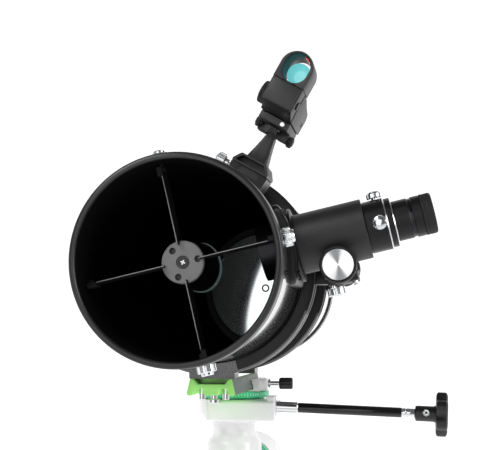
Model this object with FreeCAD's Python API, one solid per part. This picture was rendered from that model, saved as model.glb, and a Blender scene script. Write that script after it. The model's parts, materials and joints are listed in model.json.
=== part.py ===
import FreeCAD, Part
import math
import os

# Newtonian reflecting telescope on an equatorial mount and folding tripod. Millimetres, +Z up.
# The origin is on the floor, on the tripod's vertical axis.
# Everything above the latitude pivot is drawn level, in the tube's own frame:
#   X to the focuser side, Y back along the tube from its mouth, Z up along the declination axis.
# tilted() then leans it back to the latitude angle.

os.makedirs("parts", exist_ok=True)
V = FreeCAD.Vector
X_DIR = V(1, 0, 0)
Y_DIR = V(0, 1, 0)
Z_DIR = V(0, 0, 1)

# ---- driving dimensions -------------------------------------------------------------------
LATITUDE = 38.0              # tilt of the polar axis, degrees
PIVOT_HEIGHT = 736.0         # latitude pivot above the floor
PIVOT_Y = 405.0              # latitude pivot in the tube frame
PIVOT_Z = -262.0
GAP = 0.3                    # clearance between parts of different bodies

TUBE_R = 80.25               # main tube outside radius (130 mm aperture reflector)
TUBE_WALL = 1.2
TUBE_START = 3.0
TUBE_END = 600.0
RIM_R = 82.0                 # end rings
RIM_LIP_R = 76.7
FRONT_RIM_LEN = 17.6
REAR_RIM_START = 577.5
REAR_RIM_END = 608.0

MIRROR_R = 67.5
MIRROR_T = 22.0
MIRROR_FRONT = 573.0
MIRROR_CURVE_R = 1300.0
CELL_FRONT = 599.6
CELL_T = 4.0
COLLIMATION_PCD_R = 48.0

SPIDER_ANGLE = 13.0          # first vane, measured from +X towards +Z
VANE_T = 1.0
VANE_FRONT = 29.0
VANE_BACK = 52.0
NUT_R = 7.5
NUT_Y = 35.5
DISC_R = 17.0
DISC_FRONT = 35.5
HUB_R = 14.0
DIAGONAL_R = 20.7
DIAGONAL_Y = 121.0
DIAGONAL_T = 5.0

FOCUSER_ANGLE = 13.0
FOCUSER_Y = 121.0
FOCUSER_BODY_R = 25.3
FOCUSER_BODY_END = 143.7
DRAWTUBE_R = 23.8
DRAWTUBE_BORE_R = 21.9
DRAWTUBE_IN = 53.0
ADAPTER_R = 21.8
ADAPTER_END = 162.0
EYEPIECE_SEAT = 168.0
SCREW_X = 155.5              # thumbscrews that hold the eyepiece
BARREL_R = 15.875            # 31.75 mm eyepiece barrel
PINION_X = 115.0
PINION_Z = -26.5
PINION_R = 3.6
KNOB_R = 15.1
KNOB_IN = 27.5
KNOB_OUT = 39.5

FINDER_ANGLE = 60.5
FINDER_Y = 106.0
WINDOW_Z = 178.3             # height of the sight window's centre above the tube axis
WINDOW_HALF = 9.8            # half width of the window
WINDOW_RISE = 2.1            # straight run of its sides above and below the centre
TILT_Z = 128.5               # finder tilt pin

RING_STARTS = (174.0, 313.0)
RING_LEN = 26.0
RING_R = 92.6
RING_BORE_R = 80.65
FELT_T = 0.9
FOOT_W = 41.0
FOOT_BOTTOM = -95.5
CLAMP_X = RING_R + 9.5       # clamp bolt beside the ring
HINGE_X = -RING_R - 4.5      # hinge pin on the other side

BAR_START = 169.0
BAR_END = 346.0
BAR_TOP_HALF = 18.9
BAR_BOTTOM_HALF = 22.0
BAR_TOP = -95.5
BAR_WEB = -104.0
BAR_BOTTOM = -110.2

DEC_Y = 313.0                # declination axis
DRUM_R = 35.3
CIRCLE_TOP = -112.3
CIRCLE_BOTTOM = -118.3
CIRCLE_NECK = -119.9
DRUM_BOTTOM = -142.5
JAW_OUT = 36.1
WORM_Y = 282.0
WORM_Z = -126.2
HANDLE_DROOP = 2.2
HANDLE_START = 41.8
RA_Z = -198.0                # polar axis height in the tube frame
RA_FRONT = 352.0
RA_BACK = 470.0
SHAFT_R = 8.0
SHAFT_END = -545.0
WEIGHT_R = 52.0
WEIGHT_TOP = -400.0
WEIGHT_H = 62.0

HUB_BOTTOM = 596.0           # tripod hub
HUB_TOP = 640.0
LEG_ANGLES = (-90.0, 30.0, 150.0)
LEG_SPLAY = 24.0             # lean of each leg from the vertical
LEG_PIVOT_R = 66.0
LEG_PIVOT_Z = 612.0
LEG_UPPER_LEN = 420.0
LEG_FOOT_Z = 0.0


# ---- helpers ------------------------------------------------------------------------------
def cyl(base, direction, radius, length):
    return Part.makeCylinder(radius, length, V(*base), V(*direction))


def pipe(base, direction, radius, bore, length):
    return cyl(base, direction, radius, length).cut(cyl(base, direction, bore, length))


def box(x0, x1, y0, y1, z0, z1):
    return Part.makeBox(x1 - x0, y1 - y0, z1 - z0, V(x0, y0, z0))


def lathe(profile, along):
    """Revolve (radius, height) points about the X, Y or Z axis named by along."""
    spots = {"X": lambda r, h: V(h, r, 0), "Y": lambda r, h: V(r, h, 0), "Z": lambda r, h: V(r, 0, h)}
    axes = {"X": X_DIR, "Y": Y_DIR, "Z": Z_DIR}
    points = [spots[along](r, h) for r, h in profile]
    face = Part.Face(Part.makePolygon(points + points[:1]))
    return face.revolve(V(0, 0, 0), axes[along], 360)


def prism(points, extent):
    """Extrude a closed outline of 3-D points by a vector."""
    outline = [V(*p) for p in points]
    return Part.Face(Part.makePolygon(outline + outline[:1])).extrude(V(*extent))


def moved(shape, x=0.0, y=0.0, z=0.0):
    copy = shape.copy()
    copy.translate(V(x, y, z))
    return copy


def turned(shape, centre, axis, angle):
    copy = shape.copy()
    copy.rotate(V(*centre), V(*axis), angle)
    return copy


def joined(shapes):
    body = shapes[0]
    for shape in shapes[1:]:
        body = body.fuse(shape)
    return body.removeSplitter()


def softened(shape, radius, picked):
    """Round the edges that picked() accepts."""
    edges = [edge for edge in shape.Edges if picked(edge)]
    return shape.makeFillet(radius, edges)


def knurled(base, direction, radius, length, ridges, depth):
    """A short thumb wheel with straight ridges round its rim."""
    points = []
    for i in range(2 * ridges):
        reach = radius if i % 2 == 0 else radius - depth
        angle = math.pi * i / ridges
        points.append((reach * math.cos(angle), reach * math.sin(angle), 0))
    body = prism(points, (0, 0, length))
    bevel = lathe([(0, 0), (radius - 0.8, 0), (radius, 0.8), (radius, length - 0.8),
                   (radius - 0.8, length), (0, length)], "Z")
    body = body.common(bevel)
    spin = FreeCAD.Rotation(Z_DIR, V(*direction))
    body.Placement = FreeCAD.Placement(V(*base), spin)
    return body


def about_tube(shape, angle):
    """Swing a shape drawn on +X round the tube axis, towards +Z."""
    return turned(shape, (0, 0, 0), (0, 1, 0), -angle)


def tilted(shape):
    """Carry a shape from the tube's level frame to its place on the mount."""
    level = moved(shape, 0, -PIVOT_Y, -PIVOT_Z)
    leaned = turned(level, (0, 0, 0), (1, 0, 0), -LATITUDE)
    return moved(leaned, 0, 0, PIVOT_HEIGHT)


# ---- optical tube -------------------------------------------------------------------------
def main_tube():
    body = pipe((0, TUBE_START, 0), (0, 1, 0), TUBE_R, TUBE_R - TUBE_WALL, TUBE_END - TUBE_START)
    for i in range(4):
        hole = about_tube(cyl((70, NUT_Y, 0), (1, 0, 0), 2.3, 20), SPIDER_ANGLE + 90 * i)
        body = body.cut(hole)
    port = about_tube(cyl((40, FOCUSER_Y, 0), (1, 0, 0), DRAWTUBE_R + 1.2, 60), FOCUSER_ANGLE)
    return body.cut(port)


def front_ring():
    return lathe([(RIM_LIP_R, 1.2), (RIM_LIP_R + 1.2, 0), (RIM_R - 2.4, 0), (RIM_R - 0.7, 0.8), (RIM_R, 2.6),
                  (RIM_R, FRONT_RIM_LEN - 0.6), (RIM_R - 0.6, FRONT_RIM_LEN), (TUBE_R, FRONT_RIM_LEN),
                  (TUBE_R, TUBE_START), (RIM_LIP_R, TUBE_START)], "Y")


def rear_ring():
    return lathe([(TUBE_R, REAR_RIM_START), (RIM_R - 0.6, REAR_RIM_START), (RIM_R, REAR_RIM_START + 0.6),
                  (RIM_R, REAR_RIM_END - 3), (RIM_R - 3, REAR_RIM_END), (RIM_LIP_R - 3, REAR_RIM_END),
                  (RIM_LIP_R - 3, TUBE_END + 3.6), (RIM_LIP_R, TUBE_END + 3.6), (RIM_LIP_R, TUBE_END),
                  (TUBE_R, TUBE_END)], "Y")


def primary_mirror():
    disc = cyl((0, MIRROR_FRONT, 0), (0, 1, 0), MIRROR_R, MIRROR_T)
    sag = MIRROR_CURVE_R - math.sqrt(MIRROR_CURVE_R ** 2 - MIRROR_R ** 2)
    ball = Part.makeSphere(MIRROR_CURVE_R, V(0, MIRROR_FRONT + sag - MIRROR_CURVE_R, 0))
    return disc.cut(ball)


def mirror_tray():
    back = MIRROR_FRONT + MIRROR_T
    return cyl((0, back, 0), (0, 1, 0), MIRROR_R + 4, 2.4).cut(cyl((0, back, 0), (0, 1, 0), 18, 2.4))


def mirror_clips():
    back = MIRROR_FRONT + MIRROR_T
    clip = box(MIRROR_R + 0.2, MIRROR_R + 3.4, MIRROR_FRONT - 2, back, -7, 7)
    clip = clip.fuse(box(MIRROR_R - 4, MIRROR_R + 3.4, MIRROR_FRONT - 2, MIRROR_FRONT - 0.2, -7, 7))
    clip = clip.removeSplitter()
    return Part.makeCompound([about_tube(clip, 30 + 120 * i) for i in range(3)])


def mirror_cell():
    plate = cyl((0, CELL_FRONT, 0), (0, 1, 0), RIM_LIP_R - 0.1, CELL_T)
    plate = plate.cut(cyl((0, CELL_FRONT, 0), (0, 1, 0), 20, CELL_T))
    for i in range(3):
        slot = cyl((COLLIMATION_PCD_R, CELL_FRONT, 0), (0, 1, 0), 15, CELL_T)
        plate = plate.cut(about_tube(slot, 90 + 120 * i))
    for angle in cell_angles(0) + cell_angles(24):
        hole = cyl((COLLIMATION_PCD_R, CELL_FRONT, 0), (0, 1, 0), 2.2, CELL_T)
        plate = plate.cut(about_tube(hole, angle))
    return plate


def cell_angles(offset):
    return [30 + offset + 120 * i for i in range(3)]


def cell_screws(offset, head_r, head_l):
    back = CELL_FRONT + CELL_T
    screws = []
    for angle in cell_angles(offset):
        stem = cyl((COLLIMATION_PCD_R, CELL_FRONT - 2, 0), (0, 1, 0), 2.0, CELL_T + 2.2)
        head = knurled((COLLIMATION_PCD_R, back + 0.2, 0), (0, 1, 0), head_r, head_l, 18, 0.5)
        screws.append(about_tube(stem.fuse(head).removeSplitter(), angle))
    return Part.makeCompound(screws)


def spider_vanes():
    vane = box(HUB_R, TUBE_R - TUBE_WALL - 2.4, VANE_FRONT, VANE_BACK, -VANE_T / 2, VANE_T / 2)
    clip = box(70.3, 75.0, NUT_Y - 7, NUT_Y + 7, -2.6, 2.6)
    stud = cyl((75, NUT_Y, 0), (1, 0, 0), 2.0, 13)
    arm = joined([vane, clip, stud])
    return Part.makeCompound([about_tube(arm, SPIDER_ANGLE + 90 * i) for i in range(4)])


def spider_nuts():
    nut = knurled((TUBE_R + 0.4, NUT_Y, 0), (1, 0, 0), NUT_R, 9.6, 22, 0.5)
    nut = nut.cut(cyl((TUBE_R, NUT_Y, 0), (1, 0, 0), 2.05, 8.2))
    return Part.makeCompound([about_tube(nut, SPIDER_ANGLE + 90 * i) for i in range(4)])


def secondary_disc():
    disc = lathe([(0, DISC_FRONT), (DISC_R - 0.8, DISC_FRONT), (DISC_R, DISC_FRONT + 0.8),
                  (DISC_R, DISC_FRONT + 3), (0, DISC_FRONT + 3)], "Y")
    disc = disc.cut(cyl((0, DISC_FRONT, 0), (0, 1, 0), 5.4, 1.6))
    disc = disc.cut(cyl((0, DISC_FRONT, 0), (0, 1, 0), 2.1, 3))
    for i in range(3):
        hole = cyl((12.1, DISC_FRONT, 0), (0, 1, 0), 2.7, 3)
        disc = disc.cut(about_tube(hole, SPIDER_ANGLE + 120 * i))
    for i in range(4):
        notch = box(HUB_R, DISC_R, DISC_FRONT, DISC_FRONT + 3, -0.8, 0.8)
        disc = disc.cut(about_tube(notch, SPIDER_ANGLE + 90 * i))
    return disc


def secondary_hub():
    hub = cyl((0, DISC_FRONT + 3, 0), (0, 1, 0), HUB_R - 0.05, VANE_BACK - DISC_FRONT + 1)
    hub = hub.cut(cyl((0, DISC_FRONT + 3, 0), (0, 1, 0), 2.1, 40))
    for i in range(3):
        hole = cyl((11.0, DISC_FRONT + 3, 0), (0, 1, 0), 1.6, 40)
        hub = hub.cut(about_tube(hole, SPIDER_ANGLE + 120 * i))
    return hub


def secondary_screws():
    pan = cyl((0, DISC_FRONT + 0.4, 0), (0, 1, 0), 4.6, 1.2)
    cross = box(-2.6, 2.6, DISC_FRONT + 0.4, DISC_FRONT + 1.1, -0.5, 0.5)
    pan = pan.cut(cross).cut(turned(cross, (0, 0, 0), (0, 1, 0), 90))
    stem = cyl((0, DISC_FRONT + 1.6, 0), (0, 1, 0), 2.0, 46)
    screws = [pan.fuse(stem).removeSplitter()]
    for i in range(3):
        grub = cyl((11.0, DISC_FRONT + 3.2, 0), (0, 1, 0), 1.5, 19.2)
        screws.append(about_tube(grub, SPIDER_ANGLE + 120 * i))
    return Part.makeCompound(screws)


def diagonal_slab(near, far):
    """The slice of space between two depths behind the diagonal's reflecting plane."""
    slab = box(-far, -near, -90, 90, -90, 90)
    slab = turned(slab, (0, 0, 0), (0, 0, 1), 45)
    return about_tube(moved(slab, 0, DIAGONAL_Y, 0), SPIDER_ANGLE)


def secondary_holder():
    front = VANE_BACK + 6
    body = cyl((0, DIAGONAL_Y - 28, 0), (0, 1, 0), DIAGONAL_R - 0.8, 60)
    body = body.common(diagonal_slab(DIAGONAL_T, 90))
    neck = lathe([(0, front), (HUB_R - 1, front), (HUB_R - 1, front + 6), (DIAGONAL_R - 0.8, DIAGONAL_Y - 28),
                  (0, DIAGONAL_Y - 28)], "Y")
    body = body.fuse(neck).removeSplitter()
    return body.cut(cyl((0, front, 0), (0, 1, 0), 2.1, 30))


def secondary_mirror():
    rod = cyl((0, DIAGONAL_Y - 40, 0), (0, 1, 0), DIAGONAL_R, 80)
    return rod.common(diagonal_slab(0, DIAGONAL_T))


# ---- focuser: drawn on +X, centred on y = 0, then swung into place -----------------------------
def at_focuser(shape):
    return about_tube(moved(shape, 0, FOCUSER_Y, 0), FOCUSER_ANGLE)


def focuser_base():
    plate = pipe((0, -37, 0), (0, 1, 0), TUBE_R + 4.6, TUBE_R + 0.1, 75)
    plate = plate.common(box(60, 90, -37, 38, -34, 34))
    plate = softened(plate, 8.0, lambda e: e.Length < 12 and abs(abs(e.CenterOfMass.z) - 34) < 1.5)
    flare = lathe([(0, 70), (31.5, 70), (31.5, TUBE_R + 3.5), (28.5, TUBE_R + 7.5), (0, TUBE_R + 7.5)], "X")
    flare = flare.cut(cyl((0, -40, 0), (0, 1, 0), TUBE_R + 0.1, 80))
    body = plate.fuse(flare).removeSplitter()
    return body.cut(cyl((60, 0, 0), (1, 0, 0), FOCUSER_BODY_R + 0.05, 40))


def base_screws():
    screws = []
    for y in (-30, 31):
        for side in (-1, 1):
            lift = math.sqrt((TUBE_R + 4.6) ** 2 - 26.0 ** 2)
            normal = (lift, 0, side * 26.0)
            head = cyl((lift + 0.1, y, side * 26.05), normal, 3.4, 1.8)
            slot = box(-3.5, 3.5, -0.5, 0.5, 1.0, 2.4)
            slot.Placement = FreeCAD.Placement(V(lift, y, side * 26.0), FreeCAD.Rotation(Z_DIR, V(*normal)))
            screws.append(head.cut(slot))
    return Part.makeCompound(screws)


def focuser_body():
    start = TUBE_R + 3.0
    body = cyl((start, 0, 0), (1, 0, 0), FOCUSER_BODY_R, FOCUSER_BODY_END - start)
    lip = cyl((FOCUSER_BODY_END - 6, 0, 0), (1, 0, 0), FOCUSER_BODY_R + 0.8, 4.5)
    pad = box(PINION_X - 14, PINION_X + 14, -21, 21, PINION_Z - 4, -12)
    body = joined([body, lip, pad])
    body = body.cut(cyl((0, 0, 0), (1, 0, 0), DRAWTUBE_R + 0.08, 200))
    body = body.cut(cyl((PINION_X, -40, PINION_Z), (0, 1, 0), PINION_R + 0.5, 80))
    return body.cut(box(PINION_X - 6, PINION_X + 6, -19, 19, PINION_Z - 5, PINION_Z))


def pinion_housing():
    block = box(PINION_X - 13, PINION_X + 13, -19, 19, PINION_Z - 14.5, PINION_Z - 4.1)
    block = softened(block, 2.0, lambda e: e.CenterOfMass.z < PINION_Z - 14)
    block = block.cut(cyl((PINION_X, -40, PINION_Z), (0, 1, 0), PINION_R + 0.5, 80))
    for y in (-14, 14):
        block = block.cut(cyl((PINION_X + 8, y, PINION_Z - 17), (0, 0, 1), 1.4, 3.5))
        block = block.cut(cyl((PINION_X - 8, y, PINION_Z - 17), (0, 0, 1), 1.4, 3.5))
    return block.cut(cyl((PINION_X - 8, 0, PINION_Z - 22), (0, 0, 1), 1.75, 20))


def focus_lock_screw():
    stem = cyl((PINION_X - 8, 0, PINION_Z - 16), (0, 0, 1), 1.5, 11.5)
    head = knurled((PINION_X - 8, 0, PINION_Z - 15.2), (0, 0, -1), 7.6, 8, 22, 0.5)
    return stem.fuse(head).removeSplitter()


def drawtube():
    length = FOCUSER_BODY_END - 0.2 - DRAWTUBE_IN
    body = pipe((DRAWTUBE_IN, 0, 0), (1, 0, 0), DRAWTUBE_R, DRAWTUBE_BORE_R, length)
    rack_floor = PINION_Z + PINION_R + GAP
    return body.cut(box(DRAWTUBE_IN + 8, FOCUSER_BODY_END - 3, -10, 10, -30, rack_floor))


def eyepiece_adapter():
    body = lathe([(BARREL_R + 0.08, 132), (DRAWTUBE_BORE_R - 0.1, 132),
                  (DRAWTUBE_BORE_R - 0.1, FOCUSER_BODY_END),
                  (ADAPTER_R, FOCUSER_BODY_END + 0.6), (ADAPTER_R, FOCUSER_BODY_END + 7),
                  (ADAPTER_R - 0.7, FOCUSER_BODY_END + 7.6), (ADAPTER_R - 0.7, ADAPTER_END - 2),
                  (ADAPTER_R, ADAPTER_END - 1.4), (ADAPTER_R, ADAPTER_END), (20.7, ADAPTER_END),
                  (20.7, ADAPTER_END + 5.0), (20.0, ADAPTER_END + 5.7),
                  (BARREL_R + 0.08, ADAPTER_END + 5.7)], "X")
    for direction in ((0, -1, 0), (0, 0, 1)):
        body = body.cut(cyl((SCREW_X, 0, 0), direction, 1.75, 30))
    return body


def adapter_screw(direction):
    """Thumbscrew that bears on the eyepiece barrel from the side given by direction."""
    reach = [component * (BARREL_R + 0.6) for component in direction]
    seat = [component * (ADAPTER_R + 1.0) for component in direction]
    stem = cyl((SCREW_X + reach[0], reach[1], reach[2]), direction, 1.5, 9)
    head = knurled((SCREW_X + seat[0], seat[1], seat[2]), direction, 6.3, 6.5, 20, 0.5)
    return stem.fuse(head).removeSplitter()


def eyepiece_body():
    inner = FOCUSER_BODY_END + 1
    return lathe([(12.5, inner), (BARREL_R, inner), (BARREL_R, EYEPIECE_SEAT), (17.0, EYEPIECE_SEAT),
                  (17.0, 181), (16.4, 181.5), (16.4, 183.5),
                  (17.0, 184), (17.0, 191.3), (7.0, 191.3), (7.0, 183),
                  (12.5, 176)], "X")


def eye_lens():
    return cyl((184.5, 0, 0), (1, 0, 0), 6.95, 4.0)


def eyecup():
    return lathe([(7.0, 191.4), (17.0, 191.4), (17.2, 193), (17.0, 199.5), (15.6, 201), (14.4, 200.2),
                  (12.0, 194.2), (7.0, 193.2)], "X")


def pinion_shaft():
    rod = cyl((PINION_X, -KNOB_OUT + 2, PINION_Z), (0, 1, 0), 2.4, 2 * KNOB_OUT - 4)
    gear = cyl((PINION_X, -9, PINION_Z), (0, 1, 0), PINION_R, 18)
    return rod.fuse(gear).removeSplitter()


def focus_knobs():
    length = KNOB_OUT - KNOB_IN - 1.0
    knobs = []
    for side in (-1, 1):
        knob = knurled((PINION_X, side * KNOB_IN, PINION_Z), (0, side, 0), KNOB_R, length, 36, 0.7)
        knob = knob.cut(cyl((PINION_X, side * (KNOB_IN + length - 1.0), PINION_Z), (0, side, 0), 13.15, 2))
        knobs.append(knob.cut(cyl((PINION_X, -60, PINION_Z), (0, 1, 0), 2.42, 120)))
    return Part.makeCompound(knobs)


def focus_knob_caps():
    caps = []
    for side in (-1, 1):
        base = KNOB_OUT - 2.0
        cap = cyl((PINION_X, side * base, PINION_Z), (0, side, 0), 13.1, 2.0)
        rounded = softened(cap, 0.6, lambda e: abs(abs(e.CenterOfMass.y) - KNOB_OUT) < 0.1 and e.Length > 20)
        caps.append(rounded)
    return Part.makeCompound(caps)


# ---- finder: drawn standing on +Z, then swung into place ----------------------------------------
def at_finder(shape):
    return turned(moved(shape, 0, FINDER_Y, 0), (0, 0, 0), (0, 1, 0), 90 - FINDER_ANGLE)


def finder_shoe():
    block = prism([(-15.5, -17, 70), (15.5, -17, 70), (16.5, -17, 91.7), (-16.5, -17, 91.7)], (0, 34, 0))
    block = block.cut(cyl((0, -30, 0), (0, 1, 0), TUBE_R + 0.1, 60))
    channel = prism([(-11.3, -18, 85.2), (11.3, -18, 85.2), (8.6, -18, 92), (-8.6, -18, 92)], (0, 36, 0))
    return block.cut(channel).cut(cyl((-30, 0, 88.2), (1, 0, 0), 2.1, 24))


def shoe_screw():
    stem = cyl((-24, 0, 88.2), (1, 0, 0), 1.8, 12.8)
    head = knurled((-24, 0, 88.2), (-1, 0, 0), 6.2, 8.5, 20, 0.5)
    return stem.fuse(head).removeSplitter()


def finder_foot():
    """Dovetail rail, hollow-fronted table and tapered stalk with the tilt lug on top."""
    rail = prism([(-10.9, -16, 85.6), (10.9, -16, 85.6), (8.4, -16, 92), (-8.4, -16, 92)], (0, 32, 0))
    table = prism([(-16.5, -20, 92), (16.5, -20, 92), (16.5, -20, 94), (11.3, -20, 101), (-11.3, -20, 101),
                   (-16.5, -20, 94)], (0, 38, 0))
    hollow = prism([(-13.6, -21, 93.5), (13.6, -21, 93.5), (9.9, -21, 99.3), (-9.9, -21, 99.3)], (0, 13, 0))
    stalk = prism([(-9.4, -8, 101), (9.4, -8, 101), (4.2, -8, 124), (-4.2, -8, 124)], (0, 16, 0))
    lug = box(-4.2, 4.2, -4.5, 4.5, 123, TILT_Z).fuse(cyl((-4.2, 0, TILT_Z), (1, 0, 0), 3.2, 8.4))
    foot = joined([rail, table.cut(hollow), stalk, lug])
    return foot.cut(cyl((-10, 0, TILT_Z), (1, 0, 0), 1.55, 20))


def finder_cradle():
    """Tray that carries the sight, with two cheeks and the tilt pin across the stalk's lug."""
    tray = box(-13.5, 13.5, -27, 27, 132.2, 139.5)
    tray = softened(tray, 1.5, lambda e: abs(e.CenterOfMass.z - 139.5) < 0.1 and abs(e.CenterOfMass.x) > 12)
    cheeks = [box(side * 9.25 - 4.75, side * 9.25 + 4.75, -6, 6, 125.2, 132.2) for side in (-1, 1)]
    pin = cyl((-12, 0, TILT_Z), (1, 0, 0), 1.5, 24)
    return joined([tray] + cheeks + [pin])


def finder_adjusters():
    side = knurled((14.2, 0, TILT_Z), (1, 0, 0), 5.6, 5.5, 16, 0.5)
    under = knurled((0, -19, 131.8), (0, 0, -1), 5.6, 6, 16, 0.5)
    slotted = cyl((7.7, -27.3, 135.8), (0, -1, 0), 2.6, 1.6).cut(box(5, 10.4, -29, -28.1, 135.4, 136.2))
    return Part.makeCompound([side, under, slotted])


def window_run(half, y0, length):
    """A tall round-ended bar along Y, centred on the sight window."""
    rod = cyl((0, y0, WINDOW_Z + WINDOW_RISE), (0, 1, 0), half, length)
    low = cyl((0, y0, WINDOW_Z - WINDOW_RISE), (0, 1, 0), half, length)
    middle = box(-half, half, y0, y0 + length, WINDOW_Z - WINDOW_RISE, WINDOW_Z + WINDOW_RISE)
    return joined([rod, low, middle])


def finder_housing():
    case = prism([(-13.5, -54, 144.5), (-13.5, -29, 139.8), (-13.5, 29, 139.8), (-13.5, 29, 156),
                  (-13.5, 24, 158.5), (-13.5, -20, 162), (-13.5, -20, 168), (-13.5, -54, 168)], (27, 0, 0))
    head = cyl((0, -54, WINDOW_Z), (0, 1, 0), 13.9, 34)
    cheeks = box(-13.9, 13.9, -54, -20, 165, WINDOW_Z)
    apron = box(-12, 12, -55.5, -53.5, 145.5, 163.5)
    body = joined([case, head, cheeks, apron])
    body = body.cut(window_run(WINDOW_HALF, -55, 36))
    return body.cut(cyl((0, 10, 164), (0, 1, -0.12), 2.6, 20))


def finder_lens():
    return window_run(WINDOW_HALF - 0.1, -29, 2.2)


def finder_switch():
    wheel = knurled((-14.6, -24, 153), (-1, 0, 0), 9.6, 6.8, 30, 0.6)
    boss = cyl((-21.4, -24, 153), (-1, 0, 0), 6.5, 0.8)
    return wheel.fuse(boss).removeSplitter()


# ---- tube rings and dovetail -----------------------------------------------------------------
def ring_blank(start):
    rib = 2.2
    outline = [(RING_BORE_R + FELT_T, start), (RING_R - rib, start), (RING_R - rib + 1, start + 1),
               (RING_R, start + 2), (RING_R, start + 6),
               (RING_R - rib, start + 8), (RING_R - rib, start + RING_LEN - 8),
               (RING_R, start + RING_LEN - 6), (RING_R, start + RING_LEN - 2),
               (RING_R - rib + 1, start + RING_LEN - 1), (RING_R - rib, start + RING_LEN),
               (RING_BORE_R + FELT_T, start + RING_LEN)]
    return lathe(outline, "Y")


def ring_lower(start):
    half = ring_blank(start).common(box(-120, 120, start - 1, start + RING_LEN + 1, -120, -GAP))
    foot = box(-FOOT_W / 2, FOOT_W / 2, start, start + RING_LEN, FOOT_BOTTOM, -70)
    foot = foot.cut(cyl((0, start - 1, 0), (0, 1, 0), RING_R - 3, RING_LEN + 2))
    lug = box(RING_R - 4, CLAMP_X + 6, start + 5, start + RING_LEN - 5, -12, -GAP)
    ear = box(HINGE_X - 4.5, -RING_R + 4, start + 9, start + RING_LEN - 9, -12, -GAP)
    knuckle = cyl((HINGE_X, start + 9, 0), (0, 1, 0), 4.5, RING_LEN - 18)
    body = joined([half, foot, lug, ear, knuckle])
    body = body.cut(cyl((HINGE_X, start, 0), (0, 1, 0), 1.55, RING_LEN))
    return body.cut(cyl((CLAMP_X, start + RING_LEN / 2, -13), (0, 0, 1), 3.1, 14))


def ring_upper(start):
    half = ring_blank(start).common(box(-120, 120, start - 1, start + RING_LEN + 1, 0, 120))
    lug = box(RING_R - 4, CLAMP_X + 6, start + 5, start + RING_LEN - 5, 0, 11)
    ears = []
    for y0 in (start + 2, start + RING_LEN - 8.7):
        ear = box(HINGE_X, -RING_R + 4, y0, y0 + 6.7, 0, 9)
        ears.append(ear.fuse(cyl((HINGE_X, y0, 0), (0, 1, 0), 4.5, 6.7)))
    body = joined([half, lug] + ears)
    body = body.cut(box(HINGE_X - 5.5, -RING_R + 4.4, start + 8.8, start + RING_LEN - 8.8, -6, 6))
    body = body.cut(cyl((0, start - 1, 0), (0, 1, 0), RING_BORE_R + FELT_T, RING_LEN + 2))
    body = body.cut(cyl((HINGE_X, start, 0), (0, 1, 0), 1.55, RING_LEN))
    slot = cyl((CLAMP_X, start + RING_LEN / 2, -1), (0, 0, 1), 2.7, 14)
    gate = box(CLAMP_X, CLAMP_X + 7, start + RING_LEN / 2 - 2.7, start + RING_LEN / 2 + 2.7, -1, 13)
    return body.cut(slot).cut(gate)


def ring_hinge_pins():
    pins = [cyl((HINGE_X, start + 1, 0), (0, 1, 0), 1.5, RING_LEN - 2) for start in RING_STARTS]
    return Part.makeCompound(pins)


def ring_clamp(start):
    """Clamp bolt held in the upper half, threaded into the lower half's lug."""
    y = start + RING_LEN / 2
    stem = cyl((CLAMP_X, y, -11), (0, 0, 1), 2.4, 26)
    knob = knurled((CLAMP_X, y, 11.4), (0, 0, 1), 8.5, 13, 12, 1.0)
    return stem.fuse(knob).removeSplitter()


def ring_felt(start, low):
    band = pipe((0, start + 1, 0), (0, 1, 0), RING_BORE_R + FELT_T, RING_BORE_R, RING_LEN - 2)
    if low:
        return band.common(box(-120, 120, start, start + RING_LEN, -120, -GAP))
    return band.common(box(-120, 120, start, start + RING_LEN, 0, 120))


def dovetail_bar():
    """Extrusion with two raised wings on top, a web, a centre rib and two spread feet."""
    half = [(13.0, BAR_TOP - 4.7), (16.4, BAR_TOP), (BAR_TOP_HALF, BAR_TOP),
            (BAR_BOTTOM_HALF, BAR_BOTTOM + 1.4),
            (BAR_BOTTOM_HALF - 1.2, BAR_BOTTOM), (17.2, BAR_BOTTOM), (14.0, BAR_WEB), (7.6, BAR_WEB),
            (6.0, BAR_BOTTOM + 0.4)]
    profile = half + [(-x, z) for x, z in reversed(half)]
    points = [(x, BAR_START, z) for x, z in profile]
    return prism(points, (0, BAR_END - BAR_START, 0))


def dovetail_bolts():
    """Cap screws up into the ring feet; the front ring also has a centre bolt and washer."""
    bolts = []
    for start, low in zip(RING_STARTS, (-114.5, -109.6)):
        for x in (-10.8, 10.8):
            bolt = cyl((x, start + RING_LEN / 2, low), (0, 0, 1), 3.1, BAR_WEB - 0.1 - low)
            socket = cyl((x, start + RING_LEN / 2, low), (0, 0, 1), 1.6, 2.4)
            bolts.append(bolt.cut(socket))
    y = RING_STARTS[0] + RING_LEN / 2
    bolts.append(joined([cyl((0, y, -114), (0, 0, 1), 3.0, 4.1), cyl((0, y, -117.6), (0, 0, 1), 5.6, 3.6)]))
    return Part.makeCompound(bolts)


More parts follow.
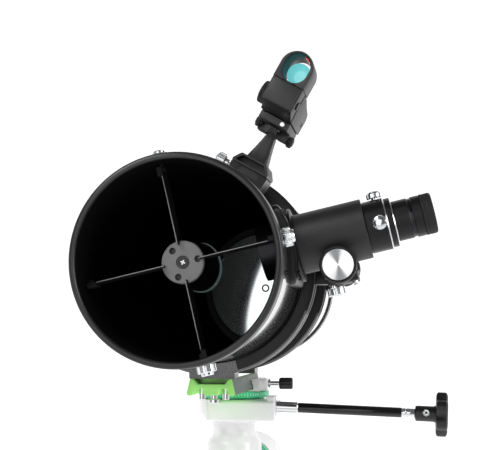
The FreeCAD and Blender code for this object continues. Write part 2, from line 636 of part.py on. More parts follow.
# ---- declination head --------------------------------------------------------------------------
def saddle():
    """Floor, two undercut walls that hold the dovetail, and the clamp's jaw block."""
    reach = 27
    floor = box(-29, 29, DEC_Y - reach, DEC_Y + reach, CIRCLE_TOP + GAP, BAR_BOTTOM - GAP)
    walls = []
    for side in (-1, 1):
        outline = [(side * (BAR_BOTTOM_HALF + 0.4), DEC_Y - reach, BAR_BOTTOM - GAP),
                   (side * 29, DEC_Y - reach, BAR_BOTTOM - GAP), (side * 29, DEC_Y - reach, -100.0),
                   (side * (BAR_TOP_HALF + 1.4), DEC_Y - reach, -100.0),
                   (side * (BAR_BOTTOM_HALF + 0.4), DEC_Y - reach, BAR_BOTTOM + 1.4)]
        walls.append(prism(outline, (0, 2 * reach, 0)))
    jaw = box(26, JAW_OUT, DEC_Y - reach + 2, DEC_Y - 3, -111.8, -100)
    jaw = softened(jaw, 1.5, lambda e: abs(e.CenterOfMass.x - JAW_OUT) < 0.1)
    plate = joined([floor] + walls + [jaw])
    return plate.cut(cyl((16, DEC_Y - 14, -104.6), (1, 0, 0), 2.5, 30))


def saddle_clamp_screw():
    y = DEC_Y - 14
    stem = cyl((22.5, y, -104.6), (1, 0, 0), 2.2, 25)
    collar = cyl((JAW_OUT + GAP, y, -104.6), (1, 0, 0), 3.6, 1.6)
    knob = knurled((46.8, y, -104.6), (1, 0, 0), 5.7, 13.2, 10, 0.7)
    return joined([stem, collar, knob])


def dec_setting_circle():
    body = cyl((0, DEC_Y, CIRCLE_BOTTOM), (0, 0, 1), DRUM_R - 0.4, CIRCLE_TOP - CIRCLE_BOTTOM)
    for i in range(72):
        deep = 0.5 if i % 2 == 0 else 0.25
        tick = box(DRUM_R - 0.4 - deep, DRUM_R + 1, DEC_Y - 0.35, DEC_Y + 0.35,
                   CIRCLE_BOTTOM + 1.2, CIRCLE_TOP - 1.2)
        body = body.cut(turned(tick, (0, DEC_Y, 0), (0, 0, 1), 5 * i))
    return body.fuse(cyl((0, DEC_Y, CIRCLE_NECK), (0, 0, 1),
                         30, CIRCLE_BOTTOM - CIRCLE_NECK)).removeSplitter()


def dec_housing():
    top = CIRCLE_NECK - GAP
    drum = moved(lathe([(0, top), (DRUM_R, top), (DRUM_R, DRUM_BOTTOM + 8), (DRUM_R - 1.2, DRUM_BOTTOM + 5),
                        (DRUM_R - 5, DRUM_BOTTOM + 2.2),
                        (DRUM_R - 11, DRUM_BOTTOM + 0.5), (22, DRUM_BOTTOM - 1.5),
                        (22, -156), (27, -164),
                        (27, -238), (23, -244), (16, -248), (0, -248)], "Z"), 0, DEC_Y, 0)
    barrel = cyl((0, DEC_Y, RA_Z), (0, 1, 0), 33.0, RA_FRONT - GAP - DEC_Y)
    worm = box(-22, 45.2, WORM_Y - 12, DEC_Y - 5, DRUM_BOTTOM + 2.5, top)
    worm = softened(worm, 3.0, lambda e: abs(e.CenterOfMass.y - WORM_Y + 12) < 0.1)
    lip = box(DRUM_R + 1.2, 45.2, WORM_Y - 9, DEC_Y - 8, top - 2, CIRCLE_TOP - 3.6)
    body = joined([drum, barrel, worm, lip])
    body = body.cut(cyl((0, WORM_Y, WORM_Z - 0.6), (1, 0, 0), 4.4, 60))
    body = body.cut(cyl((HANDLE_START - 1.5, WORM_Y, WORM_Z), (1, 0, 0), 6.6, 20))
    return body.cut(cyl((0, DEC_Y, -250), (0, 0, 1), SHAFT_R - 0.9, 24))


def slow_motion_handle(start_x, knob_r):
    """Flexible drive cable with its end socket and lobed knob, drawn along +X from start_x."""
    socket = cyl((start_x, 0, 0), (1, 0, 0), 5.2, 25.2).cut(cyl((start_x + 6, 0, 3), (0, 0, 1), 1.6, 4))
    stub = cyl((start_x - 14, 0, 0), (1, 0, 0), 3.0, 14)
    sleeve = cyl((start_x + 25.2, 0, 0), (1, 0, 0), 4.7, 99.4)
    ferrule = cyl((start_x + 124.6, 0, 0), (1, 0, 0), 4.4, 13.1)
    hub = cyl((start_x + 137.7, 0, 0), (1, 0, 0), 7.4, 19.5)
    knob = cyl((start_x + 157.2, 0, 0), (1, 0, 0), knob_r, 11)
    for i in range(6):
        scoop = cyl((start_x + 150, knob_r + 1.5, 0), (1, 0, 0), 6.0, 30)
        knob = knob.cut(turned(scoop, (0, 0, 0), (1, 0, 0), 60 * i + 30))
    metal = joined([stub, socket])
    grip = joined([sleeve, ferrule, hub, knob])
    return metal, grip


def at_dec_worm(shape):
    drooped = turned(shape, (HANDLE_START, 0, 0), (0, 1, 0), HANDLE_DROOP)
    return moved(drooped, 0, WORM_Y, WORM_Z)


# ---- polar head -----------------------------------------------------------------------------------
def ra_setting_circle():
    ring = pipe((0, RA_FRONT, RA_Z), (0, 1, 0), 36, 18, 8)
    for i in range(48):
        tick = box(35.6, 37, RA_FRONT + 1.5, RA_FRONT + 6.5, RA_Z - 0.35, RA_Z + 0.35)
        ring = ring.cut(turned(tick, (0, 0, RA_Z), (0, 1, 0), 7.5 * i))
    return ring


def ra_housing():
    start = RA_FRONT + 8 + GAP
    barrel = moved(lathe([(17.5, start), (37, start), (37, start + 34), (33, start + 38), (33, RA_BACK - 8),
                          (30, RA_BACK), (17.5, RA_BACK)], "Y"), 0, 0, RA_Z)
    worm = box(-46, 24, start + 6, start + 28, RA_Z - 44, RA_Z - 24)
    worm = softened(worm, 3.0, lambda e: abs(e.CenterOfMass.z - RA_Z + 44) < 0.1)
    lug = box(-14, 14, PIVOT_Y - 14, PIVOT_Y + 38, PIVOT_Z, RA_Z - 20)
    boss = cyl((-14, PIVOT_Y, PIVOT_Z), (1, 0, 0), 14, 28)
    body = joined([barrel, worm, lug, boss])
    body = body.cut(cyl((0, RA_FRONT, RA_Z), (0, 1, 0), 17.5, 160))
    body = body.cut(cyl((-20, PIVOT_Y, PIVOT_Z), (1, 0, 0), 5.06, 40))
    return body.cut(cyl((-60, start + 17, RA_Z - 34), (1, 0, 0), 4.2, 40))


def ra_shaft():
    shaft = cyl((0, RA_FRONT - GAP, RA_Z), (0, 1, 0), 17.4, RA_BACK - RA_FRONT - 2)
    shaft = shaft.cut(cyl((0, RA_FRONT - 1, RA_Z), (0, 1, 0), 12, 140))
    return shaft


def counterweight_shaft():
    rod = cyl((0, DEC_Y, SHAFT_END), (0, 0, 1), SHAFT_R, -248.2 - SHAFT_END)
    tip = cyl((0, DEC_Y, -248.2), (0, 0, 1), SHAFT_R - 1.0, 18)
    nut = moved(lathe([(SHAFT_R + 0.02, -258), (13, -258), (14, -255), (14, -249.5), (13, -248.4),
                       (SHAFT_R + 0.02, -248.4)], "Z"), 0, DEC_Y, 0)
    return joined([rod, tip]), nut


def shaft_end_screw():
    return moved(lathe([(0, SHAFT_END - 9), (12, SHAFT_END - 9), (13, SHAFT_END - 8), (13, SHAFT_END - 1.2),
                        (12, SHAFT_END - 0.2), (0, SHAFT_END - 0.2)], "Z"), 0, DEC_Y, 0)


def counterweight():
    low = WEIGHT_TOP - WEIGHT_H
    body = moved(lathe([(SHAFT_R + 0.06, low), (WEIGHT_R - 4, low),
                        (WEIGHT_R, low + 4), (WEIGHT_R, WEIGHT_TOP - 4),
                        (WEIGHT_R - 4, WEIGHT_TOP), (SHAFT_R + 0.06, WEIGHT_TOP)], "Z"), 0, DEC_Y, 0)
    return body.cut(cyl((0, DEC_Y, low + 31), (1, 0, 0), 3.3, 80))


def weight_lock_knob():
    low = WEIGHT_TOP - WEIGHT_H
    stem = cyl((SHAFT_R + 0.5, DEC_Y, low + 31), (1, 0, 0), 3.0, WEIGHT_R - SHAFT_R + 4)
    knob = knurled((WEIGHT_R + 3, DEC_Y, low + 31), (1, 0, 0), 10, 14, 12, 1.0)
    return stem.fuse(knob).removeSplitter()


# ---- azimuth base and tripod: drawn upright, already in place ------------------------------------
def azimuth_base():
    disc = lathe([(0, HUB_TOP + GAP), (45, HUB_TOP + GAP), (45, HUB_TOP + 12), (41, HUB_TOP + 16),
                  (0, HUB_TOP + 16)], "Z")
    ears = []
    for side in (-1, 1):
        x0 = 14.3 if side > 0 else -25.3
        cheek = prism([(x0, -27, HUB_TOP + 10), (x0, 27, HUB_TOP + 10), (x0, 27, PIVOT_HEIGHT - 30),
                       (x0, 16, PIVOT_HEIGHT), (x0, -16, PIVOT_HEIGHT),
                       (x0, -27, PIVOT_HEIGHT - 30)], (11, 0, 0))
        ears.append(cheek.fuse(cyl((x0, 0, PIVOT_HEIGHT), (1, 0, 0), 16, 11)))
    wall = box(-25.3, 25.3, -32, -25, HUB_TOP + 10, HUB_TOP + 34)
    body = joined([disc] + ears + [wall])
    body = body.cut(cyl((-40, 0, PIVOT_HEIGHT), (1, 0, 0), 5.06, 80))
    body = body.cut(cyl((0, 0, HUB_TOP - 1), (0, 0, 1), 6.1, 30))
    return body.cut(cyl((0, -40, HUB_TOP + 25), (0, 1, 0), 4.2, 30))


def latitude_bolt():
    rod = cyl((-31, 0, PIVOT_HEIGHT), (1, 0, 0), 5.0, 62)
    head = cyl((25.6, 0, PIVOT_HEIGHT), (1, 0, 0), 9, 6)
    nut = cyl((-31.6, 0, PIVOT_HEIGHT), (1, 0, 0), 9, 6)
    return joined([rod, head, nut])


def altitude_screw():
    """T-handled screw through the front wall that bears on the polar housing's lug."""
    stem = cyl((0, -62, HUB_TOP + 25), (0, 1, 0), 3.9, 41)
    bar = cyl((-24, -66, HUB_TOP + 25), (1, 0, 0), 4.5, 48)
    collar = cyl((0, -70, HUB_TOP + 25), (0, 1, 0), 7, 9)
    return joined([stem, bar, collar])


def tripod_hub():
    body = lathe([(0, HUB_BOTTOM), (38, HUB_BOTTOM), (48, HUB_BOTTOM + 8), (48, HUB_TOP - 4), (45, HUB_TOP),
                  (0, HUB_TOP)], "Z")
    parts = [body]
    for angle in LEG_ANGLES:
        for side in (-1, 1):
            y0 = 12.3 if side > 0 else -18.3
            ear = box(30, LEG_PIVOT_R, y0, y0 + 6, LEG_PIVOT_Z - 11, LEG_PIVOT_Z + 14)
            tip = cyl((LEG_PIVOT_R, y0, LEG_PIVOT_Z), (0, 1, 0), 11, 6)
            parts.append(turned(ear.fuse(tip), (0, 0, 0), (0, 0, 1), angle))
    body = joined(parts)
    for angle in LEG_ANGLES:
        hole = cyl((LEG_PIVOT_R, -30, LEG_PIVOT_Z), (0, 1, 0), 3.06, 60)
        body = body.cut(turned(hole, (0, 0, 0), (0, 0, 1), angle))
    return body.cut(cyl((0, 0, HUB_BOTTOM - 1), (0, 0, 1), 6.1, 60))


def azimuth_bolt():
    stem = cyl((0, 0, HUB_BOTTOM - 20), (0, 0, 1), 6.0, HUB_TOP - HUB_BOTTOM + 32)
    knob = knurled((0, 0, HUB_BOTTOM - 0.4), (0, 0, -1), 19, 20, 10, 1.6)
    return stem.fuse(knob).removeSplitter()


def on_leg(shape, angle):
    """Carry a leg part drawn hanging straight down from the pivot to its splayed place."""
    leaned = turned(shape, (LEG_PIVOT_R, 0, LEG_PIVOT_Z), (0, 1, 0), -LEG_SPLAY)
    return turned(leaned, (0, 0, 0), (0, 0, 1), angle)


def leg_upper():
    top = LEG_PIVOT_Z
    low = top - LEG_UPPER_LEN
    rails = []
    for side in (-1, 1):
        y0 = 6.0 if side > 0 else -12.0
        rails.append(box(LEG_PIVOT_R - 11, LEG_PIVOT_R + 11, y0, y0 + 6, low, top - 12))
    cap = box(LEG_PIVOT_R - 11, LEG_PIVOT_R + 11, -12, 12, top - 34, top)
    cap = cap.fuse(cyl((LEG_PIVOT_R, -12, top), (0, 1, 0), 11, 24))
    clamp = box(LEG_PIVOT_R - 16, LEG_PIVOT_R + 16, -16, 16, low - 16, low + 16)
    clamp = clamp.cut(box(LEG_PIVOT_R - 11.3, LEG_PIVOT_R + 11.3, -5.7, 5.7, low - 17, low + 17))
    body = joined([cap, clamp] + rails)
    body = body.cut(cyl((LEG_PIVOT_R, -30, top), (0, 1, 0), 3.06, 60))
    return body.cut(cyl((LEG_PIVOT_R + 11, 0, low), (1, 0, 0), 3.3, 10))


def leg_pin():
    rod = cyl((LEG_PIVOT_R, -22, LEG_PIVOT_Z), (0, 1, 0), 3.0, 44)
    heads = []
    for y0 in (-22.5, 18.5):
        heads.append(cyl((LEG_PIVOT_R, y0, LEG_PIVOT_Z), (0, 1, 0), 6, 4))
    return joined([rod] + heads)


def leg_reach():
    """Distance along a leg from its pivot to the floor."""
    return (LEG_PIVOT_Z - LEG_FOOT_Z) / math.cos(math.radians(LEG_SPLAY))


def leg_lower():
    low = LEG_PIVOT_Z - leg_reach()
    body = box(LEG_PIVOT_R - 11, LEG_PIVOT_R + 11, -5.4, 5.4, low + 34, LEG_PIVOT_Z - 190)
    return softened(body, 1.2, lambda e: e.Length > 100)


def leg_foot():
    low = LEG_PIVOT_Z - leg_reach()
    boot = box(LEG_PIVOT_R - 14, LEG_PIVOT_R + 14, -9, 9, low - 12, low + 60)
    boot = boot.cut(box(LEG_PIVOT_R - 11.02, LEG_PIVOT_R + 11.02, -5.42, 5.42, low + 33.9, low + 61))
    floor_cut = turned(box(-200, 400, -60, 60, LEG_FOOT_Z - 60, LEG_FOOT_Z),
                       (LEG_PIVOT_R, 0, LEG_PIVOT_Z), (0, 1, 0),
                       LEG_SPLAY)
    return boot.cut(floor_cut)


def leg_knob():
    low = LEG_PIVOT_Z - LEG_UPPER_LEN
    stem = cyl((LEG_PIVOT_R + 11.4, 0, low), (1, 0, 0), 3.0, 9)
    knob = knurled((LEG_PIVOT_R + 17.5, 0, low), (1, 0, 0), 11, 12, 10, 1.2)
    return stem.fuse(knob).removeSplitter()


# ---- every node and where it goes ----------------------------------------------------------------
def group(*shapes):
    return Part.makeCompound(list(shapes))


def tube_nodes():
    return {"main_tube": main_tube(), "front_ring": front_ring(),
            "rear_cell": group(rear_ring(), mirror_cell()),
            "primary_mirror": primary_mirror(), "mirror_cradle": group(mirror_tray(), mirror_clips()),
            "collimation_screws": group(cell_screws(0, 8.0, 9.0), cell_screws(24, 5.0, 7.0)),
            "spider_vanes": spider_vanes(), "spider_nuts": spider_nuts(),
            "secondary_disc": secondary_disc(), "secondary_screws": secondary_screws(),
            "secondary_holder": group(secondary_hub(), secondary_holder()),
            "secondary_mirror": secondary_mirror()}


def focuser_nodes():
    nodes = {"focuser_base": group(focuser_base(), base_screws()),
             "focuser_body": group(focuser_body(), pinion_housing()), "focus_lock_screw": focus_lock_screw(),
             "drawtube": drawtube(), "eyepiece_adapter": eyepiece_adapter(),
             "adapter_screws": group(adapter_screw((0, -1, 0)), adapter_screw((0, 0, 1))),
             "eyepiece_body": group(eyepiece_body(), eye_lens()), "eyecup": eyecup(),
             "focus_shaft": group(pinion_shaft(), focus_knob_caps()), "focus_knobs": focus_knobs()}
    return {name: at_focuser(shape) for name, shape in nodes.items()}


def finder_nodes():
    nodes = {"finder_shoe": finder_shoe(), "finder_shoe_screw": shoe_screw(), "finder_foot": finder_foot(),
             "finder_cradle": group(finder_cradle(), finder_adjusters()),
             "finder_housing": finder_housing(), "finder_lens": finder_lens(),
             "finder_switch": finder_switch()}
    return {name: at_finder(shape) for name, shape in nodes.items()}


def ring_nodes():
    front, rear = RING_STARTS
    felts = [ring_felt(front, True), ring_felt(rear, True)]
    return {"ring_lower": group(ring_lower(front), ring_lower(rear), *felts),
            "ring_upper_front": ring_upper(front), "ring_upper_rear": ring_upper(rear),
            "ring_clamp_front": ring_clamp(front), "ring_clamp_rear": ring_clamp(rear),
            "ring_fasteners": group(ring_hinge_pins(), dovetail_bolts()), "dovetail_bar": dovetail_bar()}


def head_nodes():
    rod, nut = counterweight_shaft()
    dec_socket, dec_grip = slow_motion_handle(HANDLE_START, 21.0)
    ra_handle = turned(group(*slow_motion_handle(0, 16.0)), (0, 0, 0), (0, 0, 1), 180)
    ra_handle = moved(ra_handle, -46.5, RA_FRONT + 8 + GAP + 17, RA_Z - 34)
    return {"saddle": saddle(), "saddle_clamp_screw": saddle_clamp_screw(),
            "dec_setting_circle": dec_setting_circle(), "dec_housing": group(dec_housing(), ra_shaft()),
            "dec_handle": at_dec_worm(group(dec_socket, dec_grip)), "ra_handle": ra_handle,
            "ra_setting_circle": ra_setting_circle(), "ra_housing": ra_housing(),
            "counterweight_shaft": group(rod, nut, shaft_end_screw()),
            "counterweight": counterweight(), "weight_lock_knob": weight_lock_knob()}


def base_nodes():
    leg_pins = [turned(leg_pin(), (0, 0, 0), (0, 0, 1), angle) for angle in LEG_ANGLES]
    nodes = {"azimuth_base": azimuth_base(), "latitude_bolts": group(latitude_bolt(), altitude_screw()),
             "tripod_hub": group(tripod_hub(), *leg_pins), "azimuth_bolt": azimuth_bolt()}
    for name, angle in zip("abc", LEG_ANGLES):
        nodes["leg_upper_" + name] = on_leg(leg_upper(), angle)
        nodes["leg_lower_" + name] = on_leg(group(leg_lower(), leg_foot()), angle)
        nodes["leg_knob_" + name] = on_leg(leg_knob(), angle)
    return nodes


level = {}
for nodes in (tube_nodes(), focuser_nodes(), finder_nodes(), ring_nodes(), head_nodes()):
    level.update(nodes)
placed = {name: tilted(shape) for name, shape in level.items()}
placed.update(base_nodes())
for name, shape in placed.items():
    shape.exportStep("parts/" + name + ".step")
    if not shape.isValid() or shape.Volume <= 0:
        print("check shape", name)
print("nodes", len(placed))
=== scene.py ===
import json
import math

import bmesh
import bpy
from mathutils import Matrix, Vector


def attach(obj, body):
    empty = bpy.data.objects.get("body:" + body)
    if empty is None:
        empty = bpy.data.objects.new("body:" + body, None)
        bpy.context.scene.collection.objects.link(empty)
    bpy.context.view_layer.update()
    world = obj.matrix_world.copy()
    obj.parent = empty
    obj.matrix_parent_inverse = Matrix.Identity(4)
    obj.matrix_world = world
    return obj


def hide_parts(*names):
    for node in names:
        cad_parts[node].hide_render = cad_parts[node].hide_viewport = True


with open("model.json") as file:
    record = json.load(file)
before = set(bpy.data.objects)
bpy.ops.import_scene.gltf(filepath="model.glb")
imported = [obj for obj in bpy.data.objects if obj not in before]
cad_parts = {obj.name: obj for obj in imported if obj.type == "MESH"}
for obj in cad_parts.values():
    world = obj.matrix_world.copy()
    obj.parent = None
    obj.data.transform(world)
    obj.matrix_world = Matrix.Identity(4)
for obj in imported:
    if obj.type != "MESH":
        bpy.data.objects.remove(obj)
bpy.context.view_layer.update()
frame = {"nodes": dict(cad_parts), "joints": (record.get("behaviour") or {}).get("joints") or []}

# ---- the tube's own frame, the camera, the floor and the light --------------------------------
# Pieces above the latitude pivot are drawn level and in millimetres: X to the focuser side,
# Y back along the tube from its mouth, Z up along the declination axis. on_mount tilts them.
joints = {joint["name"]: joint for joint in frame["joints"]}
tube_axis = Vector(joints["tube_roll"]["axis"])
right_hand = Vector((1, 0, 0))
tube_turn = Matrix((right_hand, tube_axis, right_hand.cross(tube_axis))).transposed().to_4x4()
roll_from_mouth = 0.2
mouth = Vector(joints["tube_roll"]["pos_m"]) - tube_axis * roll_from_mouth
on_mount = Matrix.Translation(mouth) @ tube_turn @ Matrix.Scale(0.001, 4)
on_floor = Matrix.Scale(0.001, 4)

eye = Vector((171.6, -851.2, -54.0))
yaw = math.radians(-7.63)
pitch = math.radians(5.268)
looking = Vector((math.sin(yaw) * math.cos(pitch), math.cos(yaw) * math.cos(pitch), math.sin(pitch)))
level_right = Vector((math.cos(yaw), -math.sin(yaw), 0))
picture_axes = Matrix((level_right, level_right.cross(looking), -looking)).transposed().to_4x4()
lens = bpy.data.cameras.new("view")
lens.lens = 83.5
lens.sensor_width = 36.0
lens.clip_start = 0.05
lens.clip_end = 60.0
viewpoint = bpy.data.objects.new("view", lens)
viewpoint.matrix_world = Matrix.Translation(on_mount @ eye) @ tube_turn @ picture_axes
bpy.context.scene.collection.objects.link(viewpoint)
bpy.context.scene.camera = viewpoint
bpy.context.scene.view_settings.view_transform = "Standard"


def hex_colour(code):
    """The linear colour of an sRGB hex code."""
    parts = [int(code[i:i + 2], 16) / 255 for i in (1, 3, 5)]
    return tuple(c / 12.92 if c <= 0.04045 else ((c + 0.055) / 1.055) ** 2.4 for c in parts) + (1.0,)


def add(tree, kind, inputs=None, **settings):
    """Adds one node: settings are its properties, inputs its values or the outputs linked to them."""
    made = tree.nodes.new(kind)
    for key, value in settings.items():
        setattr(made, key, value)
    for socket, value in (inputs or {}).items():
        if isinstance(value, bpy.types.NodeSocket):
            tree.links.new(value, made.inputs[socket])
        else:
            made.inputs[socket].default_value = value
    return made


def finish_named(name, colour, roughness, metallic=0.0, **sockets):
    """A new material with its shader set; the surface detail is linked to it afterwards."""
    made = bpy.data.materials.new(name)
    made.use_nodes = True
    shader = made.node_tree.nodes["Principled BSDF"]
    shader.inputs["Base Color"].default_value = hex_colour(colour)
    shader.inputs["Roughness"].default_value = roughness
    shader.inputs["Metallic"].default_value = metallic
    for socket, value in sockets.items():
        shader.inputs[socket.replace("_", " ")].default_value = value
    return made, made.node_tree, shader


def grain(tree, size_mm, detail=2.0, stretch=(1, 1, 1)):
    """Noise on the object's own coordinates, with grains of about size_mm."""
    place = add(tree, "ShaderNodeTexCoord").outputs["Object"]
    spread = add(tree, "ShaderNodeMapping", {"Vector": place, "Scale": stretch}).outputs["Vector"]
    noise = add(tree, "ShaderNodeTexNoise", {"Vector": spread, "Scale": 1000.0 / size_mm, "Detail": detail})
    return noise.outputs["Fac"]


def raise_by(tree, shader, height, depth_mm, strength=1.0):
    """Bumps the surface by a height pattern of the given depth."""
    bump = add(tree, "ShaderNodeBump", {"Height": height, "Strength": strength, "Distance": depth_mm / 1000})
    tree.links.new(bump.outputs["Normal"], shader.inputs["Normal"])


def vary(tree, shader, socket, pattern, low, high):
    """Drives one socket between two numbers by a pattern."""
    span = add(tree, "ShaderNodeMapRange", {"Value": pattern, "To Min": low, "To Max": high})
    tree.links.new(span.outputs["Result"], shader.inputs[socket])


def tint(tree, shader, pattern, first, second):
    """Mixes two close shades over the surface by a pattern."""
    blend = add(tree, "ShaderNodeMix", {"Factor": pattern, "A": hex_colour(first), "B": hex_colour(second)},
                data_type="RGBA")
    tree.links.new(blend.outputs["Result"], shader.inputs["Base Color"])


mesh = bpy.data.meshes.new("floor")
bm = bmesh.new()
bmesh.ops.create_grid(bm, x_segments=1, y_segments=1, size=14.0)
bm.to_mesh(mesh)
bm.free()
floor = bpy.data.objects.new("floor", mesh)
bpy.context.scene.collection.objects.link(floor)
# White paper: bright enough that the ground falls away to white.
paper, tree, shader = finish_named("white_paper", "#fbfbfb", 0.9)
shader.inputs["Emission Color"].default_value = (1.0, 1.0, 1.0, 1.0)
shader.inputs["Emission Strength"].default_value = 0.76
mesh.materials.append(paper)

world = bpy.data.worlds.new("studio")
world.use_nodes = True
tree = world.node_tree
direction = add(tree, "ShaderNodeTexCoord").outputs["Generated"]
height = add(tree, "ShaderNodeSeparateXYZ", {"Vector": direction}).outputs["Z"]
sky = add(tree, "ShaderNodeMapRange", {"Value": height, "From Min": 0.1, "From Max": 0.38, "To Min": 0.95,
                                       "To Max": 0.16},
          interpolation_type="SMOOTHSTEP")
tree.nodes["Background"].inputs["Color"].default_value = (1.0, 1.0, 1.0, 1.0)
tree.links.new(sky.outputs["Result"], tree.nodes["Background"].inputs["Strength"])
bpy.context.scene.world = world


def softbox(name, place, aim, size, power):
    """A square studio light at a place in the tube's frame, turned to a point."""
    lamp = bpy.data.lights.new(name, "AREA")
    lamp.shape = "SQUARE"
    lamp.size = size
    lamp.energy = power
    holder = bpy.data.objects.new(name, lamp)
    start = on_mount @ Vector(place)
    holder.matrix_world = (on_mount @ Vector(aim) - start).to_track_quat("-Z", "Y").to_matrix().to_4x4()
    holder.matrix_world.translation = start
    bpy.context.scene.collection.objects.link(holder)


softbox("key", (-900, -1100, 1300), (0, 250, 0), 0.9, 19)
softbox("side", (1500, -300, 500), (0, 200, 0), 0.8, 10)
softbox("front", (-500, -2700, 150), (0, 0, 0), 2.6, 27)


# ---- drawing in metal: the few shop operations every piece is made with ---------------------------
def turn(bm, outline, axis=(0, 1, 0), centre=(0, 0, 0), steps=96, skin=0):
    """Lathe work: spins an outline of (radius, height) points about an axis. One that starts and ends
    on the axis is left open there, and its poles are welded later."""
    axis = Vector(axis).normalized()
    across = Vector((1, 0, 0)) if abs(axis.x) < 0.9 else Vector((0, 1, 0))
    across = (across - axis * across.dot(axis)).normalized()
    points = [bm.verts.new(Vector(centre) + across * r + axis * h) for r, h in outline]
    pairs = list(zip(points, points[1:]))
    if outline[0][0] > 0 or outline[-1][0] > 0:
        pairs.append((points[-1], points[0]))
    lines = [bm.edges.new(pair) for pair in pairs]
    before = set(bm.faces)
    bmesh.ops.spin(bm, geom=points + lines, cent=centre, axis=axis, angle=math.tau, steps=steps,
                   use_merge=True)
    for face in set(bm.faces) - before:
        face.material_index = skin


def block(bm, x, y, z, skin=0):
    """A milled block between two x, two y and two z."""
    size = Matrix.Diagonal((x[1] - x[0], y[1] - y[0], z[1] - z[0], 1))
    centre = Matrix.Translation(((x[0] + x[1]) / 2, (y[0] + y[1]) / 2, (z[0] + z[1]) / 2))
    made = bmesh.ops.create_cube(bm, size=1.0, matrix=centre @ size)["verts"]
    for face in {face for vert in made for face in vert.link_faces}:
        face.material_index = skin
    return made


def cut_out(bm, outline, extent, skin=0):
    """A plate: a closed outline of points, drawn out by a vector."""
    face = bm.faces.new([bm.verts.new(point) for point in outline])
    grown = bmesh.ops.extrude_face_region(bm, geom=[face])["geom"]
    moved = [part for part in grown if isinstance(part, bmesh.types.BMVert)]
    bmesh.ops.translate(bm, verts=moved, vec=extent)
    for side in {side for vert in moved for side in vert.link_faces} | {face}:
        side.material_index = skin
    return moved


def loft(bm, loops, skin=0, caps=True):
    """Skins a row of loops that all have the same number of points."""
    rows = [[bm.verts.new(point) for point in loop] for loop in loops]
    faces = []
    for low, high in zip(rows, rows[1:]):
        for i in range(len(low)):
            j = (i + 1) % len(low)
            faces.append(bm.faces.new((low[i], low[j], high[j], high[i])))
    if caps:
        faces += [bm.faces.new(rows[0]), bm.faces.new(rows[-1])]
    for face in faces:
        face.material_index = skin


def edge_of(inside, count):
    """Outline points of a shape: where rays from its middle leave it, found by halving."""
    points = []
    for i in range(count):
        angle = math.tau * (i + 0.5) / count
        near, far = 0.0, 90.0
        for _ in range(22):
            middle = (near + far) / 2
            if inside(middle * math.cos(angle), middle * math.sin(angle)):
                near = middle
            else:
                far = middle
        points.append((near * math.cos(angle), near * math.sin(angle)))
    return points


def rounded_box(half_a, half_b, corner):
    """The inside test of a rectangle with rounded corners."""
    def inside(a, b):
        over_a = max(abs(a) - half_a + corner, 0)
        over_b = max(abs(b) - half_b + corner, 0)
        return math.hypot(over_a, over_b) <= corner
    return inside


def arc_band(bm, section, first, last, steps, skin=0):
    """Sweeps a closed (radius, y) section round the tube axis between two angles in degrees."""
    loops = []
    for i in range(steps + 1):
        angle = math.radians(first + (last - first) * i / steps)
        loops.append([(r * math.cos(angle), y, r * math.sin(angle)) for r, y in section])
    loft(bm, loops, skin)


def lobed_knob(bm, base, axis, radius, length, lobes, depth, skin=0):
    """A moulded knob with rounded lobes and softened rims."""
    loops = []
    for height, size in ((0, 0.86), (0.7, 0.95), (1.8, 1.0), (length - 1.8, 1.0), (length - 0.7, 0.95),
                         (length, 0.86)):
        loop = []
        for i in range(lobes * 12):
            angle = math.tau * i / (lobes * 12)
            reach = size * (radius - depth * (0.5 - 0.5 * math.cos(lobes * angle)) ** 1.6)
            loop.append(Vector((reach * math.cos(angle), reach * math.sin(angle), height)))
        loops.append(loop)
    aim = Vector((0, 0, 1)).rotation_difference(Vector(axis)).to_matrix()
    loft(bm, [[Vector(base) + aim @ point for point in loop] for loop in loops], skin)


def rod(bm, start, end, radius, rim=0.3, steps=32, skin=0):
    """A turned pin with both rims broken."""
    start, end = Vector(start), Vector(end)
    length = (end - start).length
    turn(bm, [(0, 0), (radius - rim, 0), (radius, rim), (radius, length - rim), (radius - rim, length),
              (0, length)],
         axis=end - start, centre=start, steps=steps, skin=skin)


def cap_screw(bm, place, axis, radius, height, skin=0):
    """A small screw head with its hexagon socket sunk in the end."""
    turn(bm, [(radius * 0.5, 0), (radius, 0), (radius, height - 0.4), (radius - 0.4, height),
              (radius * 0.55, height),
              (radius * 0.5, height - 0.2)], axis=axis, centre=place, steps=24, skin=skin)
    turn(bm, [(0, height * 0.4), (radius * 0.52, height * 0.4), (radius * 0.52, height * 0.2),
              (0, height * 0.2)],
         axis=axis, centre=place, steps=6, skin=skin)


def unroll(bm, centre, reach):
    """Lays out round a Y axis, so that brushed turning marks follow the circles."""
    layer = bm.loops.layers.uv.new("turned")
    for face in bm.faces:
        middle = face.calc_center_median()
        home = math.atan2(middle.z - centre[1], middle.x - centre[0])
        for corner in face.loops:
            x, z = corner.vert.co.x - centre[0], corner.vert.co.z - centre[1]
            radius = math.hypot(x, z)
            angle = math.atan2(z, x) if radius > 0.01 else home
            angle = home + math.remainder(angle - home, math.tau)
            corner[layer].uv = (angle / math.tau, radius / reach)


def soften(bm, width, segments=2, angle=35, of=None):
    """Breaks every edge sharper than an angle, on the whole drawing or on some of its points."""
    if of is None:
        bmesh.ops.remove_doubles(bm, verts=bm.verts, dist=0.001)
    chosen = bm.edges if of is None else {edge for vert in of for edge in vert.link_edges}
    sharp = [edge for edge in chosen if len(edge.link_faces) == 2
             and edge.calc_face_angle(0) > math.radians(angle)]
    bmesh.ops.bevel(bm, geom=sharp, offset=width, offset_type="OFFSET", segments=segments, profile=0.5,
                    affect="EDGES", clamp_overlap=True, material=-1)


